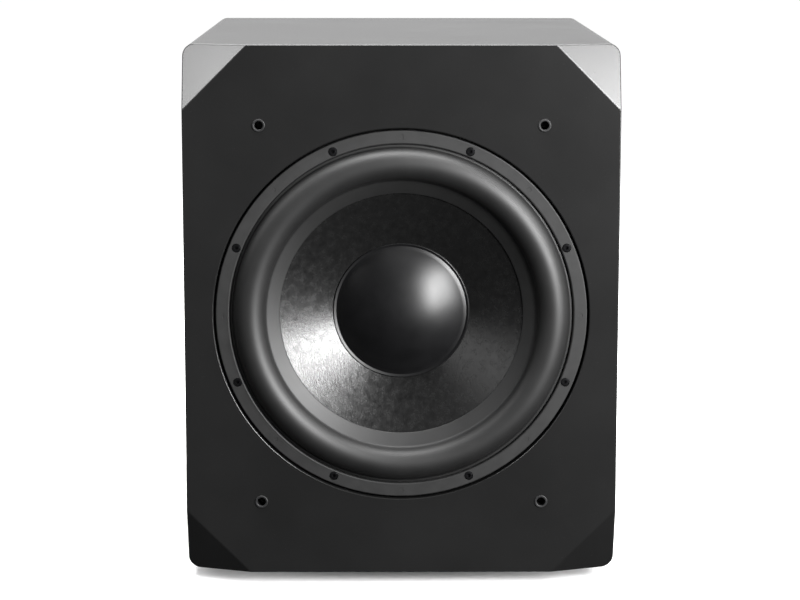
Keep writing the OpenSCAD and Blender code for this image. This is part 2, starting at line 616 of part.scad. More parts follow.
// Line sockets
jack_r = 4.15;
jack_out = 9;
jack_body_r = 5;
module line_shells() color("#c9b06a") for (x = jack_x, v = jack_v) on_plate(x, v, plate_out) {
    tube(jack_body_r + 1, 3.4, 1.2);
    tube(jack_r, 3.4, jack_out);
}
module line_insulators() color("#b3202a") for (x = jack_x, v = jack_v) on_plate(x, v, plate_out) difference() {
    union() {
        translate([0, 0, -amp_t - 12]) cylinder(r = jack_body_r, h = amp_t + 12);
        cylinder(r = 3.4 - glue, h = jack_out - 0.5);
    }
    translate([0, 0, jack_out - 9]) cylinder(r = 1.6, h = 10);
}
light_r = 2.5;
module status_light() color("#3fae4a") on_plate(light_x, knob_v - 22, plate_out) {
    translate([0, 0, -amp_t - 4]) cylinder(r = light_r, h = amp_t + 4);
    intersection() {
        sphere(r = light_r, $fn = 48);
        cylinder(r = light_r, h = light_r + 1);
    }
}

// Power rocker
rocker_w = 10.4;
rocker_half = 8;
rocker_body_w = 13;
rocker_body_h = 20.4;
rocker_pivot = 0;
module rocker_housing() color("#151516") difference() {
    union() {
        plate_block(power_x, power_v, rocker_body_w, rocker_body_h, plate_in - 16, plate_out);
        plate_block(power_x, power_v, rocker_body_w + 3, rocker_body_h + 3, plate_out, plate_out + 1.8);
    }
    plate_block(power_x, power_v, rocker_w + 2 * loose, 2 * rocker_half + 2.4, plate_out - 8, plate_out + 3);
}
module power_rocker() color("#1c1c1e") translate([power_x, plate_out + rocker_pivot, amp_z + power_v])
    rotate([rocker_tilt, 0, 0]) rotate([90, 0, 90]) translate([0, 0, -rocker_w / 2]) linear_extrude(rocker_w)
        polygon([[5.2, -rocker_half], [3.2, 0], [5.2, rocker_half], [-1, rocker_half], [-4.5, 4], [-4.5, -4], [-1, -rocker_half]]);

// Mains inlet with its fuse drawer
inlet_body_w = 27.4;
inlet_body_h = 34.4;
inlet_rise = 5.5;
drawer_v = -12;
drawer_w = 22;
drawer_h = 6.6;
drawer_d = 18;
module mains_inlet() color("#151516") difference() {
    union() {
        plate_block(inlet_x, power_v, inlet_body_w, inlet_body_h, plate_in - 20, plate_out);
        plate_block(inlet_x, power_v, inlet_body_w + 5, inlet_body_h + 4, plate_out, plate_out + 2.5);
    }
    plate_block(inlet_x, power_v + inlet_rise, 24.2, 16.6, plate_out + 2.5 - 16.5, plate_out + 4);
    plate_block(inlet_x, power_v + drawer_v, drawer_w + 2 * loose, drawer_h + 2 * loose, plate_out + 2.5 - drawer_d - 1, plate_out + 4);
}
module inlet_pins() color("#c8cacd") for (p = [[-7, -2], [7, -2], [0, 4]])
    plate_block(inlet_x + p[0], power_v + inlet_rise + p[1], 2, 4, plate_out + 2.5 - 16.5, plate_out - 1.5);
module fuse_drawer() color("#1c1c1e") difference() {
    union() {
        plate_block(inlet_x, power_v + drawer_v, drawer_w, drawer_h, plate_out + 2.5 - drawer_d, plate_out + 2.5 + loose);
        plate_block(inlet_x, power_v + drawer_v, drawer_w + 2, drawer_h + 1.6, plate_out + 2.5 + loose, plate_out + 4.3 + loose);
    }
    plate_block(inlet_x, power_v + drawer_v + 1, 20.4, drawer_h, plate_out - 10.4, plate_out - 4.6);
    plate_block(inlet_x, power_v + drawer_v + drawer_h / 2 + 0.8, 9, 1, plate_out + 3.4, plate_out + 6);
}
module fuse() color("#dfe6ea") translate([inlet_x, plate_out - 7.5, amp_z + power_v + drawer_v + 0.3])
    rotate([0, 90, 0]) cylinder(r = 2.5, h = 20, center = true);

// Two wires from the amplifier board to the driver's terminal block
wire_r = 1.4;
// Depth at a fraction of the way from behind the brace to just in front of the circuit board
function wire_y(t) = front_y + brace_set + 30 + t * (pcb_y - 50 - front_y - brace_set);
module driver_wires() color("#a02828") for (s = [-1, 1]) cord([
    [s * 8, front_y + shelf_z + 20.2, driver_z - pad_r - 5], [s * 8, front_y + shelf_z + 34, driver_z - pad_r - 6],
    [s * 6, front_y + shelf_z + 56, driver_z - pad_r - 12], [s * 5, front_y + shelf_z + 80, driver_z - pad_r - 18],
    [s * 5, front_y + brace_set - 10, driver_z - pad_r - 18], [s * 5, front_y + brace_set + 30, driver_z - pad_r - 18],
    [10 + s * 4, wire_y(0.32), amp_z - 60], [24 + s * 4, wire_y(0.6), amp_z - 60],
    [40 + s * 4, wire_y(0.83), amp_z - 60], [46 + s * 5, wire_y(1), amp_z - 60], [46 + s * 5, pcb_y - pcb_t - 0.1, amp_z - 60]
], wire_r);

// ---- Feet ----
module at_feet() for (sx = [-1, 1], y = [front_y + foot_front, back_y - foot_back])
    translate([sx * (cab_w / 2 - foot_side), y, foot_h]) children();
module feet() color("#141415") at_feet() translate([0, 0, -foot_h]) difference() {
    cylinder(r1 = foot_d / 2 - 2, r2 = foot_d / 2, h = foot_h);
    translate([0, 0, -eps]) cylinder(r = 6, h = foot_h - 4 + eps);
    cylinder(r = 2.2, h = foot_h + eps);
}
module foot_screws() color("#8d8f93") at_feet() {
    translate([0, 0, -4 - 2.4]) cylinder(r = 4, h = 2.4);
    translate([0, 0, -4]) cylinder(r = 1.5, h = 4 + 13);
}

front_baffle();
left_board();
right_board();
top_board();
bottom_board();
rear_panel();
window_brace();
wadding();
grille_sockets();
screw_inserts();
driver_seal();
driver_basket();
trim_ring();
driver_screws();
surround();
cone();
dust_cap();
coil_former();
voice_coil();
spider();
top_plate();
magnet_rings();
yoke();
magnet_boot();
terminal_block();
tinsel_leads();
driver_wires();
amp_plate();
amp_seal();
amp_screws();
heat_sink();
circuit_board();
standoffs();
transformer();
transformer_clamp();
filter_capacitors();
output_transistors();
level_pot();
level_shaft();
level_knob();
crossover_pot();
crossover_shaft();
crossover_knob();
phase_switch();
phase_lever();
mode_switch();
mode_slider();
line_shells();
line_insulators();
status_light();
rocker_housing();
power_rocker();
mains_inlet();
inlet_pins();
fuse_drawer();
fuse();
feet();
foot_screws();
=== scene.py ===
# %% [markdown]
# # A closed-box subwoofer, finished in Blender
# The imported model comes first. It holds every board, screw and coil at its real size, in metres, with the
# floor at z = 0 and the driver facing -Y. Everything made below is placed from those nodes, so nothing has
# to be fitted by eye.

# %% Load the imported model
import math
import bmesh
import bpy
from mathutils import Matrix, Vector
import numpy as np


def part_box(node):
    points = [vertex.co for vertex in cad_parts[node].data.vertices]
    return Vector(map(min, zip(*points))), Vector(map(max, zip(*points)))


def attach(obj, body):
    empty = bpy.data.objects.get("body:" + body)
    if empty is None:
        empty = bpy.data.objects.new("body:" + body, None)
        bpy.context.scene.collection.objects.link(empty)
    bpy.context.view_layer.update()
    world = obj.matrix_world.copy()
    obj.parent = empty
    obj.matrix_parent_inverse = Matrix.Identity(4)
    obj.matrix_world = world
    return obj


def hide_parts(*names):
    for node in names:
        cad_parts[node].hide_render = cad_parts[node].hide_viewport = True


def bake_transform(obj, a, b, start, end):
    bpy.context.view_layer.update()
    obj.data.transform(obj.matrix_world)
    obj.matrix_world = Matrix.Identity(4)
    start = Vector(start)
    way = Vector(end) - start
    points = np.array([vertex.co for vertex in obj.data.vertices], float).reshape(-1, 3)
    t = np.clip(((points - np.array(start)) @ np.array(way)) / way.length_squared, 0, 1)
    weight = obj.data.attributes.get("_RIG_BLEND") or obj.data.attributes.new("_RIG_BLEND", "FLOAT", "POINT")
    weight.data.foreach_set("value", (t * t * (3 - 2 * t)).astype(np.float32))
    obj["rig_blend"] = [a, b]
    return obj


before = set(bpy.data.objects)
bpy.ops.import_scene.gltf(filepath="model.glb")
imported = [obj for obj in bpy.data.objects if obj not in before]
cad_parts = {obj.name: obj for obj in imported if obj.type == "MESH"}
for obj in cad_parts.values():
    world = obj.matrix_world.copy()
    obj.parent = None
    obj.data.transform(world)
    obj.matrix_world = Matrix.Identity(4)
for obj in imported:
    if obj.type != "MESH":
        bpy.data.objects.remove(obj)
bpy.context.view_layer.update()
MM = 0.001

# %% [markdown]
# ## Reading the design's places
# A turned piece is described by radius and depth. The driver's axis runs straight back through the middle
# of the trim ring, and depth is counted back from the baffle's face. The amplifier's plate gives the same
# for the back.

# %% Places that the rest is built from
baffle_low, baffle_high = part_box("front_baffle")
ring_low, ring_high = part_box("trim_ring")
plate_low, plate_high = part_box("amp_plate")
front_y = baffle_low.y
driver_x = (ring_low.x + ring_high.x) / 2
driver_z = (ring_low.z + ring_high.z) / 2
amp_z = (plate_low.z + plate_high.z) / 2
FRAME_R = (ring_high.x - ring_low.x) / 2 / MM
FIXED = "enclosure"
MOVING = "cone_assembly"
print(f"driver axis at x {driver_x:.4f}, z {driver_z:.4f}; frame radius {FRAME_R:.1f} mm")

# %% [markdown]
# ## One function for every node of a material
# A shader tree is a list of boxes with settings, numbers and links. This one function adds a box with all
# three, so a material reads from top to bottom. Colours are written as hex values, the way a paint or a
# screen gives them, and one function turns them into the linear numbers that the renderer works in.

# %% Colour and node helpers
def linear(hex_colour):
    """'#202020' as linear red, green, blue and alpha"""
    parts = [int(hex_colour[i : i + 2], 16) / 255 for i in (1, 3, 5)]
    return [c / 12.92 if c <= 0.04045 else ((c + 0.055) / 1.055) ** 2.4 for c in parts] + [1.0]


def put(tree, kind, values=None, links=None, **settings):
    """Adds a node: its settings, then the numbers on its sockets, then the sockets that feed it"""
    made = tree.nodes.new(kind)
    for name, value in settings.items():
        setattr(made, name, value)
    for name, value in (values or {}).items():
        made.inputs[name].default_value = value
    for name, source in (links or {}).items():
        tree.links.new(source, made.inputs[name])
    return made


def start_material(name):
    """An empty material with a Principled shader; returns the material, its tree and the shader"""
    material = bpy.data.materials.new(name)
    material.use_nodes = True
    tree = material.node_tree
    tree.nodes.clear()
    shader = put(tree, "ShaderNodeBsdfPrincipled")
    put(tree, "ShaderNodeOutputMaterial", links={"Surface": shader.outputs["BSDF"]})
    return material, tree, shader


def ramp(tree, source, stops):
    """Turns a pattern into a blend of grey levels or hex colours at the given positions"""
    made = put(tree, "ShaderNodeValToRGB", links={"Fac": source})
    while len(made.color_ramp.elements) < len(stops):
        made.color_ramp.elements.new(0.5)
    for element, (at, colour) in zip(made.color_ramp.elements, stops):
        element.position = at
        element.color = linear(colour) if isinstance(colour, str) else (colour, colour, colour, 1)
    return made.outputs["Color"]


def per_metre(size_mm):
    """A noise or Voronoi scale whose cells are about this many millimetres across"""
    return 1 / (size_mm * MM)

# %% [markdown]
# ## Finishes with a plain grain
# Most of the hidden parts and the small mouldings differ in the same few ways: a colour that drifts a
# little, a grain of some real size that catches the light, and how rough or metallic they are. One function
# makes them from those facts. The larger surfaces get functions of their own further down.

# %% A general finish
def plain_finish(name, dark, light, rough, grain_mm, grain_depth_mm, metallic=0.0, drift_mm=25.0, ior=1.5):
    """A colour that drifts between two hex values, and a fine grain in its height and roughness"""
    material, tree, shader = start_material(name)
    shader.inputs["Metallic"].default_value = metallic
    if metallic < 0.5:
        shader.inputs["IOR"].default_value = ior
    where = put(tree, "ShaderNodeTexCoord").outputs["Object"]
    drift = put(tree, "ShaderNodeTexNoise", {"Scale": per_metre(drift_mm), "Detail": 3}, {"Vector": where})
    grain = put(tree, "ShaderNodeTexNoise", {"Scale": per_metre(grain_mm), "Detail": 4}, {"Vector": where})
    tree.links.new(ramp(tree, drift.outputs["Fac"], [(0.3, dark), (0.7, light)]), shader.inputs["Base Color"])
    spread = put(tree, "ShaderNodeMapRange", {"To Min": rough - 0.06, "To Max": rough + 0.06},
                 {"Value": grain.outputs["Fac"]})
    tree.links.new(spread.outputs["Result"], shader.inputs["Roughness"])
    bump = put(tree, "ShaderNodeBump", {"Strength": 1.0, "Distance": grain_depth_mm * MM},
               {"Height": grain.outputs["Fac"]})
    tree.links.new(bump.outputs["Normal"], shader.inputs["Normal"])
    return material


FINISHES = {
    # name: dark, light, roughness, grain mm, grain depth mm, metallic
    "raw_fibreboard": ("#a2835a", "#b6976b", 0.85, 0.6, 0.05, 0.0),
    "polyester_wadding": ("#dcd9cf", "#f1efe8", 0.95, 3.0, 0.9, 0.0),
    "turned_brass": ("#a8843f", "#c39d55", 0.32, 0.4, 0.004, 1.0),
    "closed_cell_foam": ("#161616", "#202021", 0.9, 0.5, 0.12, 0.0),
    "powder_coated_casting": ("#1c1c1e", "#252527", 0.55, 0.5, 0.05, 0.0),
    "black_oxide_steel": ("#19191a", "#2a2a2c", 0.34, 0.3, 0.004, 0.85),
    "polyimide_film": ("#6f4312", "#8a5a1c", 0.25, 0.8, 0.004, 0.0),
    "zinc_plated_steel": ("#7f8288", "#a3a6ab", 0.36, 0.7, 0.006, 1.0),
    "sintered_ferrite": ("#26262a", "#34343a", 0.6, 0.4, 0.03, 0.0),
    "boot_rubber": ("#121213", "#1b1b1c", 0.5, 0.5, 0.02, 0.0),
    "red_terminal_plastic": ("#7d1414", "#931b1b", 0.4, 0.6, 0.01, 0.0),
    "tinned_braid": ("#8a5b34", "#b98858", 0.45, 0.5, 0.08, 0.9),
    "red_wire_jacket": ("#7c1616", "#8f1f1f", 0.35, 0.8, 0.01, 0.0),
    "shrink_sleeve": ("#16233f", "#1f3157", 0.3, 0.8, 0.01, 0.0),
    "epoxy_moulding": ("#131314", "#1c1c1d", 0.55, 0.3, 0.01, 0.0),
    "nickel_plate": ("#8e9095", "#b4b6ba", 0.24, 0.5, 0.003, 1.0),
    "moulded_abs": ("#141416", "#1b1b1d", 0.42, 0.35, 0.012, 0.0),
    "ivory_nylon": ("#c9c7bd", "#dad8cf", 0.45, 0.4, 0.01, 0.0),
    "gilt_brass": ("#b8913f", "#d9b768", 0.18, 0.5, 0.002, 1.0),
    "red_nylon": ("#8e1220", "#a71b2a", 0.38, 0.5, 0.008, 0.0),
    "soft_touch_plastic": ("#151516", "#1d1d1e", 0.6, 0.25, 0.012, 0.0),
    "moulded_rubber_foot": ("#0f0f10", "#191919", 0.72, 0.5, 0.03, 0.0),
}
finish = {name: plain_finish(name, *facts) for name, facts in FINISHES.items()}
print("plain finishes:", len(finish))

# %% [markdown]
# ## Black lacquer
# The cabinet is fibreboard under a satin black lacquer. Satin paint has a soft, wide reflection: bright
# where it is seen at a low angle, and nearly black face on. Sprayed paint is never quite flat. It has
# orange peel, cells of about a millimetre and a few microns high, and over a hand's width the gloss drifts
# a little where it was rubbed down.

# %% Satin lacquer
def black_lacquer():
    material, tree, shader = start_material("black_lacquer")
    shader.inputs["IOR"].default_value = 1.5
    where = put(tree, "ShaderNodeTexCoord").outputs["Object"]
    peel = put(tree, "ShaderNodeTexNoise", {"Scale": per_metre(0.9), "Detail": 2}, {"Vector": where})
    cloud = put(tree, "ShaderNodeTexNoise", {"Scale": per_metre(70), "Detail": 4}, {"Vector": where})
    dust = put(tree, "ShaderNodeTexVoronoi", {"Scale": per_metre(6)}, {"Vector": where})
    tree.links.new(ramp(tree, cloud.outputs["Fac"], [(0.3, "#161616"), (0.7, "#191919")]),
                   shader.inputs["Base Color"])
    gloss = put(tree, "ShaderNodeMapRange", {"To Min": 0.23, "To Max": 0.28}, {"Value": cloud.outputs["Fac"]})
    speck = put(tree, "ShaderNodeMapRange",
                {"From Min": 0.02, "From Max": 0.05, "To Min": 0.10, "To Max": 0.0},
                {"Value": dust.outputs["Distance"]})
    rough = put(tree, "ShaderNodeMath", links={0: gloss.outputs["Result"], 1: speck.outputs["Result"]},
                operation="ADD")
    tree.links.new(rough.outputs["Value"], shader.inputs["Roughness"])
    bump = put(tree, "ShaderNodeBump", {"Strength": 0.6, "Distance": 0.004 * MM},
               {"Height": peel.outputs["Fac"]})
    tree.links.new(bump.outputs["Normal"], shader.inputs["Normal"])
    return material


finish["black_lacquer"] = black_lacquer()

# %% [markdown]
# ## Rubber
# Two rubbers show on the front. The trim ring is a hard moulded one with a dull, slightly blotched skin.
# The surround is butyl, softer and more even, with a wide satin highlight that runs round the roll. Both
# carry the fine grain of the tool they were pressed in, about a quarter of a millimetre across.

# %% The two rubbers
def moulded_rubber(name, dark, light, rough, blotch_mm, grain_depth_mm):
    material, tree, shader = start_material(name)
    shader.inputs["IOR"].default_value = 1.52
    where = put(tree, "ShaderNodeTexCoord").outputs["Object"]
    blotch = put(tree, "ShaderNodeTexNoise",
                 {"Scale": per_metre(blotch_mm), "Detail": 5, "Roughness": 0.65}, {"Vector": where})
    grain = put(tree, "ShaderNodeTexNoise", {"Scale": per_metre(0.45), "Detail": 3}, {"Vector": where})
    tree.links.new(ramp(tree, blotch.outputs["Fac"], [(0.32, dark), (0.68, light)]),
                   shader.inputs["Base Color"])
    gloss = put(tree, "ShaderNodeMapRange", {"To Min": rough - 0.05, "To Max": rough + 0.05},
                {"Value": blotch.outputs["Fac"]})
    tree.links.new(gloss.outputs["Result"], shader.inputs["Roughness"])
    bump = put(tree, "ShaderNodeBump", {"Strength": 1.0, "Distance": grain_depth_mm * MM},
               {"Height": grain.outputs["Fac"]})
    tree.links.new(bump.outputs["Normal"], shader.inputs["Normal"])
    return material


finish["ring_rubber"] = moulded_rubber("ring_rubber", "#191919", "#202020", 0.55, 9, 0.014)
finish["surround_rubber"] = moulded_rubber("surround_rubber", "#171717", "#1b1b1b", 0.5, 30, 0.008)

# %% [markdown]
# ## Pressed fibre
# The cone is long plant fibre, pulped, dried on a form and sealed with a thin black coat. The coat shines,
# but the fibres under it leave the shine broken: clouds a few millimetres wide, short fibres lying every
# way, and pits. The fibres are noise that is stretched along one direction, three times over with a turn
# between, so that no direction wins. The clouds change how rough the coat is, the fibres and pits change
# its height.

# %% Coated fibre
def coated_fibre():
    material, tree, shader = start_material("coated_fibre")
    shader.inputs["IOR"].default_value = 1.6
    where = put(tree, "ShaderNodeTexCoord").outputs["Object"]
    centred = put(tree, "ShaderNodeMapping", {"Location": (-driver_x, -front_y, -driver_z)},
                  {"Vector": where})
    cloud = put(tree, "ShaderNodeTexNoise", {"Scale": per_metre(6), "Detail": 9, "Roughness": 0.68},
                {"Vector": centred.outputs["Vector"]})
    height = None
    for turn in (20, 80, 140):
        lay = put(tree, "ShaderNodeMapping", {"Rotation": (0, math.radians(turn), 0), "Scale": (1, 1, 0.22)},
                  {"Vector": centred.outputs["Vector"]})
        fibre = put(tree, "ShaderNodeTexNoise", {"Scale": per_metre(1.1), "Detail": 5, "Roughness": 0.6},
                    {"Vector": lay.outputs["Vector"]})
        if height is None:
            height = fibre.outputs["Fac"]
        else:
            height = put(tree, "ShaderNodeMath", links={0: height, 1: fibre.outputs["Fac"]},
                         operation="ADD").outputs["Value"]
    pits = put(tree, "ShaderNodeTexVoronoi", {"Scale": per_metre(3.2), "Randomness": 1.0},
               {"Vector": centred.outputs["Vector"]})
    pit = put(tree, "ShaderNodeMapRange", {"From Min": 0.03, "From Max": 0.16, "To Min": -0.9, "To Max": 0.0},
              {"Value": pits.outputs["Distance"]})
    height = put(tree, "ShaderNodeMath", links={0: height, 1: pit.outputs["Result"]},
                 operation="ADD").outputs["Value"]
    tree.links.new(ramp(tree, cloud.outputs["Fac"], [(0.3, "#101010"), (0.7, "#151515")]),
                   shader.inputs["Base Color"])
    gloss = put(tree, "ShaderNodeMapRange",
                {"From Min": 0.25, "From Max": 0.75, "To Min": 0.17, "To Max": 0.33},
                {"Value": cloud.outputs["Fac"]})
    tree.links.new(gloss.outputs["Result"], shader.inputs["Roughness"])
    bump = put(tree, "ShaderNodeBump", {"Strength": 1.0, "Distance": 0.035 * MM}, {"Height": height})
    swell = put(tree, "ShaderNodeBump", {"Strength": 1.0, "Distance": 0.07 * MM},
                {"Height": cloud.outputs["Fac"], "Normal": bump.outputs["Normal"]})
    tree.links.new(swell.outputs["Normal"], shader.inputs["Normal"])
    return material


finish["coated_fibre"] = coated_fibre()

# %% [markdown]
# ## The dust cap's polypropylene
# The dome is drawn from a sheet of black polypropylene. It is the smoothest thing on the front, so the
# softbox shows in it as one bright patch with soft edges. Only a trace of the tool's texture is left in it.

# %% Smooth polypropylene
def drawn_polypropylene():
    material, tree, shader = start_material("drawn_polypropylene")
    shader.inputs["IOR"].default_value = 1.49
    where = put(tree, "ShaderNodeTexCoord").outputs["Object"]
    haze = put(tree, "ShaderNodeTexNoise", {"Scale": per_metre(14), "Detail": 3}, {"Vector": where})
    grain = put(tree, "ShaderNodeTexNoise", {"Scale": per_metre(0.5), "Detail": 2}, {"Vector": where})
    tree.links.new(ramp(tree, haze.outputs["Fac"], [(0.3, "#0c0c0d"), (0.7, "#101011")]),
                   shader.inputs["Base Color"])
    gloss = put(tree, "ShaderNodeMapRange", {"To Min": 0.34, "To Max": 0.38}, {"Value": haze.outputs["Fac"]})
    tree.links.new(gloss.outputs["Result"], shader.inputs["Roughness"])
    bump = put(tree, "ShaderNodeBump", {"Strength": 0.5, "Distance": 0.002 * MM},
               {"Height": grain.outputs["Fac"]})
    tree.links.new(bump.outputs["Normal"], shader.inputs["Normal"])
    return material


finish["drawn_polypropylene"] = drawn_polypropylene()

# %% [markdown]
# ## Materials of the back and the inside
# The amplifier's plate is steel under a fine textured powder coat. The heat sink is extruded aluminium,
# anodised black, and the die leaves faint lines along the fins. Enamelled wire is copper seen through amber
# varnish, one turn beside the other. The spider's cloth has a weave. The circuit board's laminate shows its
# glass cloth under green lacquer, and the lamp and fuse are clear.

# %% Back and inside
def powder_coated_steel():
    material, tree, shader = start_material("powder_coated_steel")
    shader.inputs["IOR"].default_value = 1.5
    where = put(tree, "ShaderNodeTexCoord").outputs["Object"]
    orange_peel = put(tree, "ShaderNodeTexVoronoi", {"Scale": per_metre(0.7)}, {"Vector": where},
                      feature="SMOOTH_F1")
    wear = put(tree, "ShaderNodeTexNoise", {"Scale": per_metre(45), "Detail": 5}, {"Vector": where})
    tree.links.new(ramp(tree, wear.outputs["Fac"], [(0.3, "#1c1c1e"), (0.7, "#232325")]),
                   shader.inputs["Base Color"])
    gloss = put(tree, "ShaderNodeMapRange", {"To Min": 0.5, "To Max": 0.6}, {"Value": wear.outputs["Fac"]})
    tree.links.new(gloss.outputs["Result"], shader.inputs["Roughness"])
    bump = put(tree, "ShaderNodeBump", {"Strength": 1.0, "Distance": 0.03 * MM},
               {"Height": orange_peel.outputs["Distance"]})
    tree.links.new(bump.outputs["Normal"], shader.inputs["Normal"])
    return material


def lined(name, dark, light, rough, pitch_mm, depth_mm, direction, metallic):
    """Fine parallel lines of a real pitch across one axis, with a colour that follows them"""
    material, tree, shader = start_material(name)
    shader.inputs["Metallic"].default_value = metallic
    shader.inputs["Roughness"].default_value = rough
    where = put(tree, "ShaderNodeTexCoord").outputs["Object"]
    lines = put(tree, "ShaderNodeTexWave",
                {"Scale": per_metre(pitch_mm) / 3.2, "Distortion": 0.4, "Detail": 2},
                {"Vector": where}, wave_type="BANDS", bands_direction=direction)
    tree.links.new(ramp(tree, lines.outputs["Fac"], [(0.1, dark), (0.9, light)]), shader.inputs["Base Color"])
    bump = put(tree, "ShaderNodeBump", {"Strength": 0.7, "Distance": depth_mm * MM},
               {"Height": lines.outputs["Fac"]})
    tree.links.new(bump.outputs["Normal"], shader.inputs["Normal"])
    return material


def clear(name, tint, rough, transmission):
    """Glass or a tinted clear moulding"""
    material, tree, shader = start_material(name)
    shader.inputs["Transmission Weight"].default_value = transmission
    shader.inputs["IOR"].default_value = 1.5
    where = put(tree, "ShaderNodeTexCoord").outputs["Object"]
    haze = put(tree, "ShaderNodeTexNoise", {"Scale": per_metre(1.5), "Detail": 2}, {"Vector": where})
    gloss = put(tree, "ShaderNodeMapRange", {"To Min": rough, "To Max": rough + 0.08},
                {"Value": haze.outputs["Fac"]})
    shader.inputs["Base Color"].default_value = linear(tint)
    tree.links.new(gloss.outputs["Result"], shader.inputs["Roughness"])
    return material


def woven(name, dark, light, rough, thread_mm, depth_mm):
    """Two sets of lines crossed, the threads of a cloth"""
    material, tree, shader = start_material(name)
    shader.inputs["Roughness"].default_value = rough
    where = put(tree, "ShaderNodeTexCoord").outputs["Object"]
    warp = put(tree, "ShaderNodeTexWave", {"Scale": per_metre(thread_mm) / 3.2}, {"Vector": where},
               bands_direction="X")
    weft = put(tree, "ShaderNodeTexWave", {"Scale": per_metre(thread_mm) / 3.2}, {"Vector": where},
               bands_direction="Z")
    cloth = put(tree, "ShaderNodeMath", links={0: warp.outputs["Fac"], 1: weft.outputs["Fac"]},
                operation="MULTIPLY")
    tree.links.new(ramp(tree, cloth.outputs["Value"], [(0.0, dark), (0.8, light)]),
                   shader.inputs["Base Color"])
    bump = put(tree, "ShaderNodeBump", {"Strength": 1.0, "Distance": depth_mm * MM},
               {"Height": cloth.outputs["Value"]})
    tree.links.new(bump.outputs["Normal"], shader.inputs["Normal"])
    return material


finish["powder_coated_steel"] = powder_coated_steel()
finish["black_anodised_aluminium"] = lined("black_anodised_aluminium", "#1a1a1c", "#252528", 0.4, 0.5, 0.01,
                                           "X", 0.6)
finish["enamelled_copper"] = lined("enamelled_copper", "#5a2a10", "#b1602c", 0.25, 0.5, 0.12, "Y", 0.9)
finish["circuit_laminate"] = woven("circuit_laminate", "#123f22", "#1b5a32", 0.3, 0.9, 0.01)
finish["spider_cloth"] = woven("spider_cloth", "#8f6d2c", "#c29c4c", 0.8, 0.7, 0.12)
finish["lamp_lens"] = clear("lamp_lens", "#2f8f3c", 0.12, 0.6)
finish["fuse_glass"] = clear("fuse_glass", "#e6ecee", 0.02, 0.95)

# %% [markdown]
# ## From a bmesh to a piece
# Every new piece ends the same way: its bmesh becomes a mesh with one of the finishes, the object stays at the
# origin, edges sharper than a given angle stay crisp, the piece is parented to the body it rides on, and the
# CAD node that it stands for is hidden.

# %% Finishing a piece
def make_piece(name, bm, material, body=FIXED, node=None, sharp=35):
    """The bmesh as a finished object; node is the CAD node that it replaces"""
    mesh = bpy.data.meshes.new(name)
    bm.to_mesh(mesh)
    bm.free()
    mesh.materials.append(finish[material])
    mesh.shade_smooth()
    mesh.set_sharp_from_angle(angle=math.radians(sharp))
    piece = bpy.data.objects.new(name, mesh)
    bpy.context.scene.collection.objects.link(piece)
    if body:
        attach(piece, body)
    if node:
        stand_for(node)
    return piece


def apply_modifiers(piece):
    """Puts the modifiers' result in the mesh"""
    graph = bpy.context.evaluated_depsgraph_get()
    solid = bpy.data.meshes.new_from_object(piece.evaluated_get(graph))
    solid.name = piece.name
    piece.modifiers.clear()
    piece.data = solid


def stand_for(node):
    """Hides the CAD node whose place the piece takes"""
    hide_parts(node)


def cut_with(piece, shape):
    """Takes a bmesh's shape out of the piece"""
    cutter = make_piece("cutter", shape, "moulded_abs", body=None)
    cut = piece.modifiers.new("cut", "BOOLEAN")
    cut.operation = "DIFFERENCE"
    cut.solver = "EXACT"
    cut.object = cutter
    apply_modifiers(piece)
    bpy.data.objects.remove(cutter)


def even_shading(piece, sharp=40):
    """Smooth faces and crisp edges again after a cut, with the large faces kept flat to the eye"""
    piece.data.shade_smooth()
    piece.data.set_sharp_from_angle(angle=math.radians(sharp))
    piece.modifiers.new("even_faces", "WEIGHTED_NORMAL").keep_sharp = True
    apply_modifiers(piece)

# %% [markdown]
# ## Turning
# A driver is nearly all turned shapes. The outline of half a section is drawn as a few points with arcs
# between them, in millimetres of radius and depth, and bmesh spins it about the axis. The spin merges its
# first and last ring, the points on the axis are merged into one pole, and the normals are then
# recalculated because a spun outline can come out inside out.

# %% Arcs and turned solids
def arc(radius, depth, r, start, end, steps):
    """Points round a centre at (radius, depth); the angle runs from +radius towards +depth, in degrees"""
    angles = [math.radians(start + (end - start) * i / steps) for i in range(steps + 1)]
    return [(radius + r * math.cos(a), depth + r * math.sin(a)) for a in angles]


def turned(outline, steps=128, centre=None, y=None, closed=True, outwards=1):
    """Spins an outline of (radius, depth) in millimetres about an axis along Y
    Depth runs back from y, or forward from it with outwards=-1"""
    cx, cz = centre or (driver_x, driver_z)
    y0 = front_y if y is None else y
    bm = bmesh.new()
    ring = [bm.verts.new((cx + r * MM, y0 + outwards * d * MM, cz)) for r, d in outline]
    edges = [bm.edges.new(pair) for pair in zip(ring, ring[1:])]
    if closed:
        edges.append(bm.edges.new((ring[-1], ring[0])))
    bmesh.ops.spin(bm, geom=ring + edges, cent=(cx, 0, cz), axis=(0, 1, 0), angle=math.tau, steps=steps,
                   use_merge=True)
    bmesh.ops.remove_doubles(bm, verts=bm.verts, dist=1e-6)
    bmesh.ops.recalc_face_normals(bm, faces=bm.faces)
    return bm


def drum(x, z, radius, y0, y1, steps=32):
    """A plain cylinder along Y from y0 to y1 in metres, for cutting holes"""
    length = (y1 - y0) / MM
    return turned([(0, 0), (radius, 0), (radius, length), (0, length)], steps, (x, z), y0, closed=False)


def block(low, high):
    """A box between two corners, as a bmesh"""
    bm = bmesh.new()
    bmesh.ops.create_cube(bm, size=1)
    size = Vector(high) - Vector(low)
    bmesh.ops.scale(bm, vec=size, verts=bm.verts)
    bmesh.ops.translate(bm, vec=(Vector(low) + Vector(high)) / 2, verts=bm.verts)
    return bm


def soften(bm, edges, size_mm, segments=3):
    """Rounds the given edges"""
    bmesh.ops.bevel(bm, geom=list(edges), offset=size_mm * MM, offset_type="OFFSET", affect="EDGES",
                    segments=segments, profile=0.5, material=-1, clamp_overlap=True)

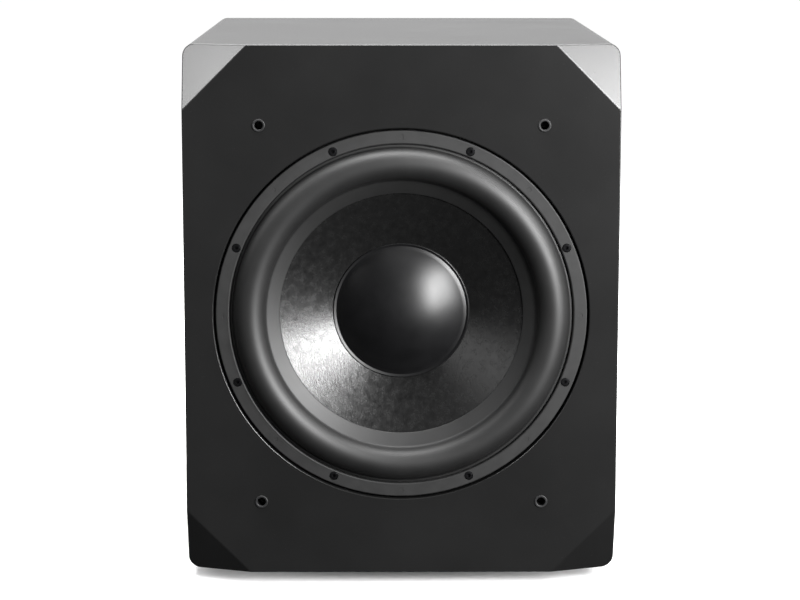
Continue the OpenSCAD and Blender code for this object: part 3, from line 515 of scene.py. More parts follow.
# %% [markdown]
# ## The cabinet
# Six boards make the box: the baffle, four sides and the rear panel. The four long edges are rounded to 10
# mm, the front corners are cut by flat facets, and every outer edge is eased by about a millimetre before
# it is sprayed, which is what gives a painted box its thin bright outlines. The boards stay separate pieces
# that meet flush, and because the lacquer is a pattern in space and not on each board, it runs over the
# joints without a break.

# %% Boards
EDGE_R = 10
EASE = 0.9
FACET_LEG = 54
FACET_DEPTH = 18


def along_y(edge):
    """True for an edge that runs from front to back"""
    a, b = (v.co for v in edge.verts)
    return abs(a.x - b.x) < 1e-6 and abs(a.z - b.z) < 1e-6


def at_outer_corner(edge):
    """True for an edge of the cabinet's outer rectangle"""
    p = edge.verts[0].co
    from_side = min(abs(p.x - baffle_low.x), abs(p.x - baffle_high.x))
    from_end = min(abs(p.z - baffle_low.z), abs(p.z - baffle_high.z))
    return max(from_side, from_end) < 1e-5


def board(node):
    """One board of the cabinet, with the cabinet's long edges rounded where it has them"""
    bm = block(*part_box(node))
    soften(bm, [e for e in bm.edges if along_y(e) and at_outer_corner(e)], EDGE_R, 14)
    return bm


for name in ("left_board", "right_board", "top_board", "bottom_board"):
    make_piece(name + "_lacquered", board(name), "black_lacquer", node=name, sharp=30)

# %% [markdown]
# The baffle is cut after its edges are rounded: a plane through three points of each corner takes the facet
# off, and the hole that it leaves is filled with one flat face. Then the front edges are eased. The
# driver's recess and the socket holes come last, because they are round and can't disturb the straight
# edges.

# %% The baffle
def facet(bm, side, up):
    """Cuts one corner facet; side and up are -1 or 1"""
    corner = Vector((side * (baffle_high.x - baffle_low.x) / 2, front_y,
                     baffle_high.z if up > 0 else baffle_low.z))
    start = corner - Vector((side * FACET_LEG * MM, 0, 0))
    normal = Vector((side / FACET_LEG, -1 / FACET_DEPTH, up / FACET_LEG)).normalized()
    cut = bmesh.ops.bisect_plane(bm, geom=bm.verts[:] + bm.edges[:] + bm.faces[:],
                                 plane_co=start, plane_no=normal, clear_outer=True)
    rim = [g for g in cut["geom_cut"] if isinstance(g, bmesh.types.BMEdge)]
    bmesh.ops.contextual_create(bm, geom=rim)


SEAT_R = FRAME_R + 1.8
SEAT_DEPTH = 12.5
CUTOUT_R = 142.5
SOCKET_HOLE_R = 4.7
SOCKET_HOLE_DEPTH = 15
bm = board("front_baffle")
for side in (-1, 1):
    for up in (-1, 1):
        facet(bm, side, up)
bmesh.ops.recalc_face_normals(bm, faces=bm.faces)
crisp = [e for e in bm.edges if len(e.link_faces) == 2 and e.calc_face_angle() > math.radians(13)]
soften(bm, [e for e in crisp if min(v.co.y for v in e.verts) < baffle_high.y - 1 * MM], EASE, 4)
baffle = make_piece("baffle_lacquered", bm, "black_lacquer", node="front_baffle", sharp=40)

recess = turned([(0, -5), (SEAT_R + EASE, -5), (SEAT_R + EASE, 0)]
                + arc(SEAT_R + EASE, EASE, EASE, -90, -180, 5)[1:]
                + [(SEAT_R, SEAT_DEPTH), (CUTOUT_R, SEAT_DEPTH), (CUTOUT_R, 40), (0, 40)], 180, closed=False)
cut_with(baffle, recess)
socket_low, socket_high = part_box("grille_sockets")
SOCKET_LIP_R = 5.45
socket_places = [(x, z) for x in (socket_low.x + SOCKET_LIP_R * MM, socket_high.x - SOCKET_LIP_R * MM)
                 for z in (socket_low.z + SOCKET_LIP_R * MM, socket_high.z - SOCKET_LIP_R * MM)]
for x, z in socket_places:
    cut_with(baffle, drum(x, z, SOCKET_HOLE_R, front_y - 1 * MM, front_y + SOCKET_HOLE_DEPTH * MM))
even_shading(baffle)
print("baffle:", len(baffle.data.polygons), "faces")

# %% [markdown]
# The rear panel is the same board again with its back edges eased and a square opening for the amplifier.

# %% The rear panel
bm = board("rear_panel")
rear_low, rear_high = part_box("rear_panel")
back_rim = [e for e in bm.edges if min(v.co.y for v in e.verts) > rear_high.y - 1e-5]
soften(bm, back_rim, EASE, 4)
rear = make_piece("rear_panel_lacquered", bm, "black_lacquer", node="rear_panel", sharp=40)
AMP_LAP = 18
opening = block((plate_low.x + AMP_LAP * MM, rear_low.y - 0.01, plate_low.z + AMP_LAP * MM),
                (plate_high.x - AMP_LAP * MM, rear_high.y + 0.01, plate_high.z - AMP_LAP * MM))
cut_with(rear, opening)
even_shading(rear)

# %% [markdown]
# ## The trim ring
# A moulded rubber ring hides the driver's frame and carries the screw holes. Its edges are rolled over,
# wide enough to catch a line of light, and the screws go through it into the casting. It sits a little
# under the baffle's face, so the gap round it stays black. Shallow ovals are moulded in its face, between
# and beside the screws, where the mould is pinned: shallow pockets cut with flattened drums.

# %% Trim ring
RING_OUT = FRAME_R
RING_IN = 143.5
RING_FACE = 2.0
RING_BACK = 6.0
SCREW_CIRCLE = 148.5
SCREW_ANGLES = [22.5 + 45 * k for k in range(8)]
SCREW_HOLE_R = 3.8
OVAL_STRETCH = 1.25


def on_circle(radius, angle):
    """The x and z of a point on a circle about the driver's axis"""
    a = math.radians(angle)
    return driver_x + radius * MM * math.cos(a), driver_z + radius * MM * math.sin(a)


outline = (arc(RING_OUT - 1.0, RING_FACE + 1.0, 1.0, 0, -90, 6)
           + arc(RING_IN + 1.4, RING_FACE + 1.4, 1.4, -90, -180, 8)
           + [(RING_IN, RING_BACK), (RING_OUT, RING_BACK)])
ring = make_piece("moulded_trim_ring", turned(outline, 240), "ring_rubber", node="trim_ring", sharp=40)
ring_face_y = front_y + RING_FACE * MM
for angle in SCREW_ANGLES:
    cut_with(ring, drum(*on_circle(SCREW_CIRCLE, angle), SCREW_HOLE_R,
                        ring_face_y - 0.2 * MM, front_y + 8 * MM))
for angle in range(0, 360, 45):
    x, z = on_circle(SCREW_CIRCLE + 1, angle)
    dimple = turned([(0, -0.4), (1.9, -0.4), (1.6, 0.25), (0, 0.25)], 24, (x, z), ring_face_y, closed=False)
    bmesh.ops.scale(dimple, vec=(1, 1, OVAL_STRETCH), space=Matrix.Translation((-x, 0, -z)),
                    verts=dimple.verts)
    cut_with(ring, dimple)
even_shading(ring)

# %% [markdown]
# ## Cap screws
# Each screw is a socket head: a turned cylinder with an eased rim and a hexagon hole for the key. The
# hexagon is cut with a six-sided drum. The shanks stay the CAD's own length so that they end in the
# inserts.

# %% Socket head screws
def cap_screws(name, node, places, head_y, tip_y, out, head_r=3.5, head_h=3.4, shank_r=2.0, key=3.0):
    """All the screws of one node; out is -1 where they face the front and 1 where they face the back"""
    made = bmesh.new()
    length = abs(tip_y - head_y) / MM
    outline = ([(0, 0)] + arc(head_r - 0.45, 0.45, 0.45, -90, 0, 5)
               + [(head_r, head_h), (shank_r, head_h), (shank_r, length - 0.5),
               (shank_r - 0.5, length), (0, length)])
    for x, z in places:
        one = turned(outline, 40, (x, z), head_y, closed=False, outwards=-out)
        piece = make_piece("one_screw", one, "black_oxide_steel", body=None)
        y0, y1 = sorted((head_y + out * 1 * MM, head_y - out * 1.9 * MM))
        cut_with(piece, drum(x, z, key / math.sqrt(3), y0, y1, steps=6))
        made.from_mesh(piece.data)
        bpy.data.objects.remove(piece)
    return make_piece(name, made, "black_oxide_steel", node=node, sharp=40)


screw_low, screw_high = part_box("driver_screws")
cap_screws("driver_cap_screws", "driver_screws", [on_circle(SCREW_CIRCLE, a) for a in SCREW_ANGLES],
           screw_low.y, screw_high.y, -1)

# %% [markdown]
# ## Surround
# The rubber half-roll is moulded in one with two flat lips. The outer one is glued to the frame's landing,
# the inner one to the cone's rim. Its thickness is even, so its outline is an outer arc, an inner arc 1 mm
# under it and the two lips, all rounded where they meet. The roll bends as the cone travels: the outer lip
# stays with the frame and the inner one with the cone, so each vertex follows the cone by how far in it
# lies.

# %% Surround
ROLL_OUT, ROLL_IN = 140.5, 113.5
ROLL_MID = (ROLL_OUT + ROLL_IN) / 2
ROLL_R = (ROLL_OUT - ROLL_IN) / 2
LANDING_R = 143.2
LIP_IN_R = 101.7
FLANGE_DEPTH = 6.0
RUBBER = 1.0


def weigh_by_radius(piece, inner, outer):
    """The piece bends: all its inner edge follows the cone and none of its outer edge does"""
    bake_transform(piece, FIXED, MOVING, (driver_x + outer * MM, front_y, driver_z),
             (driver_x + inner * MM, front_y, driver_z))
    weights = piece.data.attributes["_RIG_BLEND"].data
    for vertex, weight in zip(piece.data.vertices, weights):
        r = math.hypot(vertex.co.x - driver_x, vertex.co.z - driver_z) / MM
        t = min(1, max(0, (outer - r) / (outer - inner)))
        weight.value = t * t * (3 - 2 * t)


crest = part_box("surround")[0].y
roll_rise = (front_y - crest) / MM
ROLL_H = FLANGE_DEPTH + roll_rise
rise = [math.pi * i / 48 for i in range(49)]
over = [(ROLL_MID + ROLL_R * math.cos(a), FLANGE_DEPTH - ROLL_H * math.sin(a)) for a in rise]
under = [(ROLL_MID + (ROLL_R - RUBBER) * math.cos(a), FLANGE_DEPTH - (ROLL_H - RUBBER) * math.sin(a))
         for a in reversed(rise)]
print("surround rises", round(roll_rise, 2), "mm over the baffle")
outline = ([(LANDING_R, 6.0), (LANDING_R, 5.3), (LANDING_R - 0.3, 5.0), (ROLL_OUT + 1.6, 5.0),
            (ROLL_OUT + 0.8, 4.85), (ROLL_OUT + 0.2, 4.3)]
           + over[4:-4])
CONE_ANGLE = 20
SLOPE = math.tan(math.radians(CONE_ANGLE))
LIP_T = 1.2


def lip_depth(r):
    """Depth of the inner lip's face, which lies on the cone's slope"""
    return FLANGE_DEPTH - LIP_T + (ROLL_IN - r) * SLOPE


outline += [(ROLL_IN - 0.3, 4.3), (ROLL_IN - 0.9, 4.9), (ROLL_IN - 1.8, lip_depth(ROLL_IN - 1.8)),
            (LIP_IN_R + 0.5, lip_depth(LIP_IN_R + 0.5)),
            (LIP_IN_R + 0.1, lip_depth(LIP_IN_R) + 0.15), (LIP_IN_R, lip_depth(LIP_IN_R) + 0.5),
            (LIP_IN_R, lip_depth(LIP_IN_R) + LIP_T),
            (ROLL_IN, FLANGE_DEPTH)]
outline += under
surround = make_piece("rubber_surround", turned(outline, 256), "surround_rubber", body=None,
                      node="surround", sharp=50)
weigh_by_radius(surround, ROLL_IN, ROLL_OUT)

# %% [markdown]
# ## Cone and dust cap
# The cone runs from under the inner lip down to the coil former's neck. The dust cap is a shallow dome with
# a sloping flange, glued to the cone over the neck. Both are turned. A thin step at the lip's inner edge
# and round the cap's flange gives the dark lines that part one material from the next.

# %% Cone
CONE_T = 1.6
cone_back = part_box("cone")[1].y
NECK_R = 32.6


def cone_depth(r):
    """Depth of the cone's face at a radius"""
    return 6.1 + (ROLL_IN - r) * SLOPE


skin = CONE_T / math.cos(math.radians(CONE_ANGLE))
collar_end = (cone_back - front_y) / MM
COLLAR_R = NECK_R + 2.2
face_radii = [NECK_R + (ROLL_IN - NECK_R) * i / 24 for i in range(25)]
outline = ([(r, cone_depth(r)) for r in reversed(face_radii)] + [(NECK_R, collar_end), (COLLAR_R, collar_end)]
           + [(COLLAR_R, cone_depth(COLLAR_R) + skin), (ROLL_IN, cone_depth(ROLL_IN) + skin)])
make_piece("fibre_cone", turned(outline, 192), "coated_fibre", MOVING, "cone", sharp=50)

# %% Dust cap
cap_low, cap_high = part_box("dust_cap")
DOME_R = 54.0
CAP_T = 1.2
CAP_FLANGE_R = (cap_high.x - cap_low.x) / 2 / MM
rim_depth = cone_depth(DOME_R) - 0.1 - 1.4
dome_h = rim_depth - (cap_low.y - front_y) / MM
ball = (DOME_R ** 2 + dome_h ** 2) / (2 * dome_h)
open_angle = math.asin(DOME_R / ball)
middle_depth = rim_depth - dome_h + ball
outer = [(ball * math.sin(open_angle * i / 40), middle_depth - ball * math.cos(open_angle * i / 40))
         for i in range(40)]
inner = [((ball - CAP_T) * math.sin(open_angle * i / 20),
          middle_depth - (ball - CAP_T) * math.cos(open_angle * i / 20))
         for i in range(20, -1, -1)]
cap_face = [(r, cone_depth(r) - 0.1 - CAP_T) for r in (DOME_R + 0.9, CAP_FLANGE_R - 0.4)]
cap_edge = [(CAP_FLANGE_R, cone_depth(CAP_FLANGE_R) - 0.1 - CAP_T + 0.4),
            (CAP_FLANGE_R, cone_depth(CAP_FLANGE_R) - 0.1),
            (DOME_R - 0.4, cone_depth(DOME_R) - 0.25)]
make_piece("domed_dust_cap", turned(outer + cap_face + cap_edge + inner, 192, closed=False),
           "drawn_polypropylene", MOVING, "dust_cap", sharp=30)
print("dome", round(dome_h, 1), "mm high on a ball of", round(ball, 1))

# %% [markdown]
# ## Spider and leads
# The spider is impregnated cloth, pressed in waves so that it gives evenly to both sides. Like the surround
# it bends between the frame and the coil. The two tinsel leads cross the same gap, so they bend the same
# way.

# %% Spider
spider_low, spider_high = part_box("spider")
SPIDER_R = (spider_high.x - spider_low.x) / 2 / MM
SPIDER_T = 0.6
spider_depth = (spider_high.y - front_y) / MM - SPIDER_T
wave_height = (spider_high.y - spider_low.y) / MM - SPIDER_T
wave_span = (NECK_R + 5, SPIDER_R - 6)
waves = [(wave_span[0] + (wave_span[1] - wave_span[0]) * i / 80,
          spider_depth - wave_height * (1 - math.cos(math.tau * 5 * i / 80)) / 2)
         for i in range(81)]
outline = [(NECK_R, spider_depth)] + waves + [(SPIDER_R, spider_depth), (SPIDER_R, spider_depth + SPIDER_T)]
outline += [(r, d + SPIDER_T) for r, d in reversed(waves)] + [(NECK_R, spider_depth + SPIDER_T)]
spider = make_piece("waved_spider", turned(outline, 144), "spider_cloth", body=None, node="spider", sharp=60)
weigh_by_radius(spider, NECK_R + 2, SPIDER_R - 5)

# %% [markdown]
# A lead is a braid of fine tinsel round a cord, so it is soft and hangs in one slack bow from the terminal
# to the coil's neck. A curve through a few points, given a round section, makes it. It bends along its
# length: the terminal's end stays and the neck's end travels.

# %% Tinsel leads
lead_low, lead_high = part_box("tinsel_leads")
LEAD_R = 1.0
terminal_r = (driver_z - lead_low.z) / MM - LEAD_R
neck_end_r = (driver_z - lead_high.z) / MM
shelf = (lead_high.y - front_y) / MM - 3.8
bow = [(0, 3.8), (0, -1), (2, -8), (7, -14), (15, -16.5), (25, -17), (35, -16), (45, -15.5),
       (terminal_r - neck_end_r, -16.5)]
leads = bpy.data.curves.new("leads", "CURVE")
leads.dimensions = "3D"
leads.bevel_depth = LEAD_R * MM
leads.bevel_resolution = 5
leads.resolution_u = 8
leads.use_fill_caps = True
for x in (-8, 8):
    spline = leads.splines.new("BEZIER")
    spline.bezier_points.add(len(bow) - 1)
    for point, (inwards, depth) in zip(spline.bezier_points, bow):
        point.co = (driver_x + x * MM, front_y + (shelf + depth) * MM, driver_z - (terminal_r - inwards) * MM)
        point.handle_left_type = point.handle_right_type = "AUTO"
drawn = bpy.data.objects.new("drawn_leads", leads)
bpy.context.scene.collection.objects.link(drawn)
round_leads = bpy.data.meshes.new_from_object(drawn.evaluated_get(bpy.context.evaluated_depsgraph_get()))
bpy.data.objects.remove(drawn)
bm = bmesh.new()
bm.from_mesh(round_leads)
tinsel = make_piece("braided_leads", bm, "tinned_braid", body=None, node="tinsel_leads", sharp=50)
ends = [(driver_x, front_y, driver_z - r * MM) for r in (terminal_r - 3, neck_end_r + 4)]
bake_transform(tinsel, FIXED, MOVING, *ends)

# %% [markdown]
# ## Grille sockets
# Each socket is a rubber plug with a hole for the grille's peg. Its lip stands just proud of the baffle,
# and the lip and the hole's mouth are both rounded.

# %% Sockets
bm = bmesh.new()
socket_length = (socket_high.y - socket_low.y) / MM
for x, z in socket_places:
    outline = ([(0, socket_length - 1), (3.5, socket_length - 1), (3.5, 0.6)]
               + arc(4.1, 0.6, 0.6, 180, 270, 4)[1:] + arc(4.95, 0.5, 0.5, -90, 0, 4)
               + [(5.45, 0.8), (4.6, 0.8), (4.6, socket_length), (0, socket_length)])
    one = turned(outline, 48, (x, z), socket_low.y, closed=False)
    held = bpy.data.meshes.new("socket")
    one.to_mesh(held)
    bm.from_mesh(held)
    bpy.data.meshes.remove(held)
make_piece("rubber_grille_sockets", bm, "boot_rubber", node="grille_sockets", sharp=40)

# %% [markdown]
# ## The back
# The amplifier's plate is a steel sheet with a powder coat. Its outline is the design's, and its openings
# stand where the design's parts do. The parts on it are mouldings and an extrusion, and what makes them
# look so is their eased edges, so each is a few boxes with rounded edges.

# %% Boxes on the plate
def slab(x, v, w, h, y0, y1, ease=0.0, segments=3):
    """A box on the plate, x and v mm from its middle, from y0 to y1 in metres, with eased edges"""
    low = Vector(((x - w / 2) * MM, y0, amp_z + (v - h / 2) * MM))
    high = Vector(((x + w / 2) * MM, y1, amp_z + (v + h / 2) * MM))
    bm = block(low, high)
    if ease:
        soften(bm, bm.edges[:], ease, segments)
    return bm


def joined(parts):
    """Several bmeshes as one"""
    whole = bmesh.new()
    for part in parts:
        held = bpy.data.meshes.new("part")
        part.to_mesh(held)
        part.free()
        whole.from_mesh(held)
        bpy.data.meshes.remove(held)
    return whole


def cut_away(piece, cutters, sharp=40):
    """Cuts each bmesh out of the piece and shades it again"""
    for cutter in cutters:
        cut_with(piece, cutter)
    even_shading(piece, sharp)


def middle_of(node):
    """A node's middle on the plate, as x and v in millimetres"""
    low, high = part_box(node)
    return (low.x + high.x) / 2 / MM, ((low.z + high.z) / 2 - amp_z) / MM


plate_out = plate_high.y
sink_low, sink_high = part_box("heat_sink")
sink_x, sink_v = middle_of("heat_sink")
SINK_W, SINK_H = (sink_high.x - sink_low.x) / MM, (sink_high.z - sink_low.z) / MM
FINS, FIN_T, SINK_BASE = 11, 2, 4
parts = [slab(sink_x, sink_v, SINK_W, SINK_H, plate_out, plate_out + SINK_BASE * MM, 0.4)]
for i in range(FINS):
    x = sink_x - SINK_W / 2 + FIN_T / 2 + i * (SINK_W - FIN_T) / (FINS - 1)
    parts.append(slab(x, sink_v, FIN_T, SINK_H, plate_out + (SINK_BASE - 0.6) * MM, sink_high.y, 0.45))
sink = make_piece("finned_heat_sink", joined(parts), "black_anodised_aluminium", node="heat_sink", sharp=50)
even_shading(sink, 50)

# %% The plate
KNOB_X = [middle_of(f"{name}_knob")[0] for name in ("level", "crossover")]
KNOB_V = middle_of("level_knob")[1]
phase_x, switch_v = middle_of("phase_switch")
mode_x, mode_v = middle_of("mode_switch")
light_x, light_v = middle_of("status_light")
rocker_x, rocker_v = middle_of("rocker_housing")
inlet_x, inlet_v = middle_of("mains_inlet")
jack_low, jack_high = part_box("line_shells")
JACK_EDGE = 6
JACKS = [(x, v) for x in (jack_low.x / MM + JACK_EDGE, jack_high.x / MM - JACK_EDGE)
         for v in ((jack_low.z - amp_z) / MM + JACK_EDGE, (jack_high.z - amp_z) / MM - JACK_EDGE)]
PLATE_W, PLATE_H = (plate_high.x - plate_low.x) / MM, (plate_high.z - plate_low.z) / MM
bm = slab(0, 0, PLATE_W, PLATE_H, plate_low.y, plate_high.y)
soften(bm, [e for e in bm.edges if along_y(e)], 2.5, 6)
outer_rim = [e for e in bm.edges if min(v.co.y for v in e.verts) > plate_high.y - 1e-6]
soften(bm, outer_rim, 0.5, 3)
plate = make_piece("coated_amp_plate", bm, "powder_coated_steel", node="amp_plate", sharp=40)


def plate_hole(x, v, r):
    """A round cutter through the plate"""
    return drum(x * MM, amp_z + v * MM, r, plate_low.y - 2 * MM, plate_high.y + 2 * MM)


AMP_SCREWS = [(x, v) for x in (-PLATE_W / 2 + 8, 0, PLATE_W / 2 - 8)
              for v in (-PLATE_H / 2 + 8, 0, PLATE_H / 2 - 8) if x or v]
LOOSE = 0.3
cutters = [plate_hole(x, v, 2.3) for x, v in AMP_SCREWS]
cutters += [plate_hole(x, KNOB_V, 3.5 + LOOSE) for x in KNOB_X] + [plate_hole(phase_x, switch_v, 3.5 + LOOSE)]
cutters += [plate_hole(light_x, light_v, 2.5 + LOOSE)] + [plate_hole(x, v, 5 + LOOSE) for x, v in JACKS]
for x, v, w, h in ((mode_x, mode_v, 9.6, 4.2), (rocker_x, rocker_v, 13.6, 21.0),
                   (inlet_x, inlet_v, 28.0, 35.0)):
    cutters.append(slab(x, v, w, h, plate_low.y - 2 * MM, plate_high.y + 2 * MM))
cut_away(plate, cutters)

# %% [markdown]
# ## Controls
# The knobs are turned, with a rim, a rounded top, fine grips round the side and a line that points to the
# setting. The plate screws are pan heads with a cross. The toggle's bat, the slider, the rocker and the
# inlet are small mouldings.

# %% Knobs
GRIPS = 24
GRIP_GROOVE_R = 0.7
BORE_R = 3.1


def knob(name, node, body):
    """A turned knob with grooves round its side and a pointer line across its top"""
    low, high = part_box(node)
    x, z = (low.x + high.x) / 2, (low.z + high.z) / 2
    height = (high.y - low.y) / MM
    wide = (high.x - low.x) / 2 / MM
    grip_r = wide - 1.2
    bore_end = height - 4.4
    outline = [(0, bore_end), (BORE_R, bore_end), (BORE_R, 0), (wide - 0.3, 0), (wide, 0.3), (wide, 1.6)]
    outline += [(wide - 0.4, 2.0), (grip_r, 2.3)] + arc(grip_r - 1.2, height - 1.2, 1.2, 0, 90, 6) + [(0, height)]
    piece = make_piece(name, turned(outline, 72, (x, z), low.y, closed=False), "soft_touch_plastic", body,
                       node, sharp=50)
    cutters = []
    groove_circle = grip_r * 1.035 * MM
    for k in range(GRIPS):
        a = math.tau * k / GRIPS
        groove_x, groove_z = x + groove_circle * math.cos(a), z + groove_circle * math.sin(a)
        cutters.append(drum(groove_x, groove_z, GRIP_GROOVE_R, low.y + 3 * MM, high.y + 1 * MM, 12))
    cutters.append(block((x - 0.45 * MM, high.y - 0.6 * MM, z + 1.5 * MM),
                         (x + 0.45 * MM, high.y + 1 * MM, z + (grip_r + 1) * MM)))
    cut_away(piece, cutters, 50)


knob("level_knob_gripped", "level_knob", "level_control")
knob("crossover_knob_gripped", "crossover_knob", "crossover_control")

# %% Plate screws
bm = bmesh.new()
tip = (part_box("amp_screws")[0].y - plate_out) / MM
head = [(0, 2.2), (1.6, 2.1), (2.9, 1.6), (3.7, 0.8), (4.0, 0.0)]
shank = [(1.6, 0.0), (1.6, tip + 1.2), (0.4, tip), (0, tip)]
CROSS_W, CROSS_L = 0.9, 4.6
for x, v in AMP_SCREWS:
    turned_screw = turned(head + shank, 32, (x * MM, amp_z + v * MM), plate_out, closed=False)
    one = make_piece("one_screw", turned_screw, "black_oxide_steel", body=None)
    for w, h in ((CROSS_L, CROSS_W), (CROSS_W, CROSS_L)):
        cut_with(one, slab(x, v, w, h, plate_out + 1.0 * MM, plate_out + 3 * MM))
    bm.from_mesh(one.data)
    bpy.data.objects.remove(one)
make_piece("pan_head_screws", bm, "black_oxide_steel", node="amp_screws", sharp=40)

# %% Line sockets
jack_out = (jack_high.y - plate_out) / MM
outline = [(3.4, 0), (6.0, 0), (6.0, 0.9), (5.7, 1.2), (4.3, 1.2), (4.15, 1.4), (4.15, jack_out - 0.4),
           (3.8, jack_out), (3.4, jack_out - 0.2)]
shells = joined([turned(outline, 48, (x * MM, amp_z + v * MM), plate_out) for x, v in JACKS])
make_piece("line_socket_shells", shells, "gilt_brass", node="line_shells", sharp=40)

# %% Rocker and inlet
rocker_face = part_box("rocker_housing")[1].y
inlet_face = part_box("mains_inlet")[1].y
bm = joined([slab(rocker_x, rocker_v, 13, 20.4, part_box("rocker_housing")[0].y, plate_out + 0.5 * MM),
             slab(rocker_x, rocker_v, 16, 23.4, plate_out, rocker_face, 0.6)])
housing = make_piece("rocker_frame", bm, "moulded_abs", node="rocker_housing", sharp=40)
cut_away(housing, [slab(rocker_x, rocker_v, 11.0, 18.4, plate_out - 8 * MM, plate_out + 3 * MM)])
bm = joined([slab(inlet_x, inlet_v, 27.4, 34.4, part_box("mains_inlet")[0].y, plate_out + 0.5 * MM),
             slab(inlet_x, inlet_v, 32.4, 38.4, plate_out, inlet_face, 0.8)])
inlet = make_piece("mains_inlet_moulding", bm, "moulded_abs", node="mains_inlet", sharp=40)
socket_void = slab(inlet_x, inlet_v + 5.5, 24.2, 16.6, inlet_face - 16.5 * MM, inlet_face + 2 * MM)
soften(socket_void, [e for e in socket_void.edges if along_y(e)], 1.2, 4)
cut_away(inlet, [socket_void,
                 slab(inlet_x, inlet_v - 12, 22.6, 7.2, inlet_face - 19 * MM, inlet_face + 2 * MM)])

# %% Feet
foot_low, foot_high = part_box("feet")
FOOT_R = 20
foot_h = (foot_high.z - foot_low.z) / MM
POCKET_R, BOLT_R, SEAT_T = 6, 2.2, 4
foot_outline = [(POCKET_R, 0), (FOOT_R - 2.6, 0), (FOOT_R - 2.1, 0.4), (FOOT_R - 0.3, foot_h - 0.8)]
foot_outline += [(FOOT_R - 0.5, foot_h), (BOLT_R, foot_h), (BOLT_R, foot_h - SEAT_T),
                 (POCKET_R, foot_h - SEAT_T)]
bm = bmesh.new()
for x in (foot_low.x + FOOT_R * MM, foot_high.x - FOOT_R * MM):
    for y in (foot_low.y + FOOT_R * MM, foot_high.y - FOOT_R * MM):
        points = [bm.verts.new((x + r * MM, y, foot_low.z + h * MM)) for r, h in foot_outline]
        edges = [bm.edges.new(pair) for pair in zip(points, points[1:] + points[:1])]
        bmesh.ops.spin(bm, geom=points + edges, cent=(x, y, 0), axis=(0, 0, 1), angle=math.tau, steps=64,
                       use_merge=True)
bmesh.ops.remove_doubles(bm, verts=bm.verts, dist=1e-6)
bmesh.ops.recalc_face_normals(bm, faces=bm.faces)
make_piece("rubber_feet", bm, "moulded_rubber_foot", node="feet", sharp=40)

# %% [markdown]
# ## The pieces that stay as designed
# What is inside the box, and the small parts that are already right, keep the design's shape and only get a
# material.

# %% Materials for the rest
CARRIED = {
    "window_brace": "raw_fibreboard", "wadding": "polyester_wadding", "screw_inserts": "turned_brass",
    "driver_seal": "closed_cell_foam", "driver_basket": "powder_coated_casting",
    "coil_former": "polyimide_film", "voice_coil": "enamelled_copper", "top_plate": "zinc_plated_steel",
    "magnet_rings": "sintered_ferrite", "yoke": "zinc_plated_steel", "magnet_boot": "boot_rubber",
    "terminal_block": "red_terminal_plastic", "driver_wires": "red_wire_jacket",
    "amp_seal": "closed_cell_foam", "circuit_board": "circuit_laminate", "standoffs": "turned_brass",
    "transformer": "enamelled_copper", "transformer_clamp": "zinc_plated_steel",
    "filter_capacitors": "shrink_sleeve", "output_transistors": "epoxy_moulding",
    "level_pot": "nickel_plate", "level_shaft": "nickel_plate", "crossover_pot": "nickel_plate",
    "crossover_shaft": "nickel_plate", "phase_switch": "nickel_plate", "phase_lever": "nickel_plate",
    "mode_switch": "moulded_abs", "mode_slider": "ivory_nylon", "line_insulators": "red_nylon",
    "status_light": "lamp_lens", "power_rocker": "moulded_abs", "inlet_pins": "nickel_plate",
    "fuse_drawer": "moulded_abs", "fuse": "fuse_glass", "foot_screws": "zinc_plated_steel",
}
for node, material in CARRIED.items():
    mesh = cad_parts[node].data
    mesh.materials.clear()
    mesh.materials.append(finish[material])
print("carried over:", len(CARRIED))

# %% [markdown]
# ## Camera
# A long lens stands about 1.9 metres in front and a little above the driver, almost square to the baffle,
# so that the front is nearly a true elevation and the top only a thin strip.

# %% Camera
camera_data = bpy.data.cameras.new("camera")
camera_data.sensor_width = 36
camera_data.lens = 104.5
camera_data.shift_y = -0.05
camera = bpy.data.objects.new("camera", camera_data)
camera.location = (-0.0134, -2.1264, 0.5750)
camera.rotation_euler = (math.radians(90 - 8.87), math.radians(-0.04), math.radians(-0.36))
bpy.context.scene.collection.objects.link(camera)
bpy.context.scene.camera = camera

# %% [markdown]
# ## The studio
# A black satin box is lit by what it reflects. A strip softbox at the right gives the tall patch on the
# dome and the shine on the cone's left side. A weaker one at the left fills the other side. A large
# overhead panel grades the baffle from top to bottom, and a panel behind lights the top board. The floor is
# pale, but it isn't seen in the reflections, as on a tall table whose top is hidden by the box.

# %% Lights, floor and background
def softbox(name, place, target, width, height, watts):
    """A soft rectangular light that faces a target"""
    data = bpy.data.lights.new(name, "AREA")
    data.shape = "RECTANGLE"
    data.size, data.size_y = width, height
    data.energy = watts
    light = bpy.data.objects.new(name, data)
    light.location = place
    light.rotation_euler = (Vector(place) - Vector(target)).to_track_quat("Z", "Y").to_euler()
    bpy.context.scene.collection.objects.link(light)
    light.visible_camera = False
    return light


def around_driver(azimuth, elevation, distance):
    """A place seen from the driver at an azimuth right of straight ahead and an elevation"""
    a, e = math.radians(azimuth), math.radians(elevation)
    return (driver_x + distance * math.sin(a) * math.cos(e), front_y - distance * math.cos(a) * math.cos(e),
            driver_z + distance * math.sin(e))


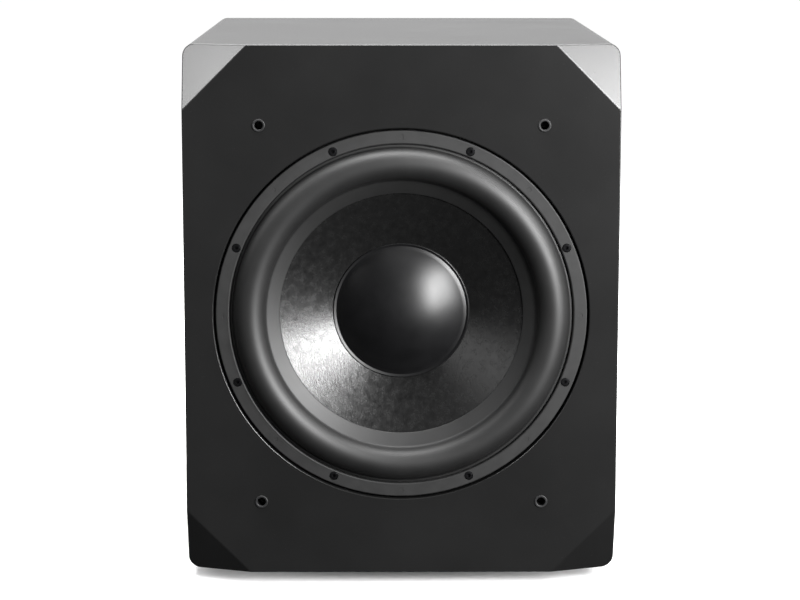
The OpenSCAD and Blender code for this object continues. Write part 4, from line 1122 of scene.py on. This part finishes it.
CENTRE = (driver_x, front_y, driver_z)
MIDDLE = (0, 0, 0.45)
right_strip = softbox("right_strip", around_driver(37, 12, 1.6), CENTRE, 0.30, 0.90, 40)
far_right_strip = softbox("far_right_strip", around_driver(54, 16, 1.6), CENTRE, 0.30, 0.85, 24)
right_high = softbox("right_high", around_driver(46, 30, 1.8), CENTRE, 0.55, 0.50, 10)
softbox("right_top", (1.3, -0.5, 1.2), (0, -0.2, 0.45), 0.8, 0.8, 14)
left_strip = softbox("left_strip", around_driver(-33, 10, 2.0), CENTRE, 0.5, 0.8, 2.1)
softbox("left_top", (-1.3, -0.5, 1.2), (0, -0.2, 0.45), 0.8, 0.8, 7)
softbox("overhead_front", (0, -1.2, 2.0), CENTRE, 1.4, 1.0, 4)
softbox("overhead", (0, -0.2, 2.0), (0, -0.1, 0.4), 1.6, 1.0, 97)
softbox("overhead_back", (0, 0.9, 1.8), MIDDLE, 2.0, 1.0, 60)
softbox("rear_low", (0, 1.9, 0.66), MIDDLE, 2.4, 0.5, 3.3)

# %% [markdown]
# One more softbox stands high on the left and lights nothing but the baffle, so that it brightens the upper
# left facet without a second patch on the dome.

# %% The flagged light
flagged = softbox("left_high_flagged", around_driver(-45, 30, 1.8), CENTRE, 0.45, 0.40, 11)
baffle_only = bpy.data.collections.new("baffle_only")
baffle_only.objects.link(baffle)
flagged.light_linking.receiver_collection = baffle_only

# %% [markdown]
# Other flags keep a softbox off one piece. The low ones at the right would turn the top white from behind,
# and the left one is kept off the dome, so that it has a single patch.

# %% Flags
def keep_off(light, names):
    """The light leaves these pieces alone and lights everything else"""
    shaded = bpy.data.collections.new(light.name + "_flag")
    for name in names:
        shaded.objects.link(bpy.data.objects[name])
    for held in shaded.collection_objects:
        held.light_linking.link_state = "EXCLUDE"
    light.light_linking.receiver_collection = shaded


behind = ["left_board_lacquered", "top_board_lacquered", "rear_panel_lacquered"]
keep_off(right_strip, behind)
keep_off(far_right_strip, behind)
keep_off(right_high, behind)
keep_off(left_strip, ["domed_dust_cap"])

# %% [markdown]
# The floor is pale paper. Close to the box it is a plain white surface that takes its soft shadow, and
# further out it turns into the bright background, so that no horizon shows.

# %% Floor and background
bm = bmesh.new()
bmesh.ops.create_grid(bm, x_segments=1, y_segments=1, size=20)
mesh = bpy.data.meshes.new("floor")
bm.to_mesh(mesh)
bm.free()
floor = bpy.data.objects.new("floor", mesh)
bpy.context.scene.collection.objects.link(floor)
floor_material, floor_tree, floor_shader = start_material("white_floor")
floor_shader.inputs["Base Color"].default_value = linear("#f4f4f4")
floor_shader.inputs["Roughness"].default_value = 0.9
floor_place = put(floor_tree, "ShaderNodeTexCoord").outputs["Object"]
floor_reach = put(floor_tree, "ShaderNodeVectorMath", links={0: floor_place}, operation="LENGTH")
floor_fade = put(floor_tree, "ShaderNodeMapRange", {"From Min": 0.18, "From Max": 0.5},
                 {"Value": floor_reach.outputs["Value"]})
floor_tree.links.new(floor_fade.outputs["Result"], floor_shader.inputs["Emission Strength"])
floor_shader.inputs["Emission Color"].default_value = (1, 1, 1, 1)
mesh.materials.append(floor_material)
floor.visible_glossy = False
floor.visible_diffuse = False
world = bpy.data.worlds.new("studio")
world.use_nodes = True
world.node_tree.nodes.clear()
path = put(world.node_tree, "ShaderNodeLightPath")
seen = put(world.node_tree, "ShaderNodeBackground", {"Color": (1, 1, 1, 1), "Strength": 1.0})
lit = put(world.node_tree, "ShaderNodeBackground", {"Color": linear("#8f9296"), "Strength": 0.05})
mix = put(world.node_tree, "ShaderNodeMixShader",
          links={0: path.outputs["Is Camera Ray"], 1: lit.outputs["Background"],
                 2: seen.outputs["Background"]})
put(world.node_tree, "ShaderNodeOutputWorld", links={"Surface": mix.outputs["Shader"]})
bpy.context.scene.world = world
bpy.context.scene.view_settings.view_transform = "Standard"
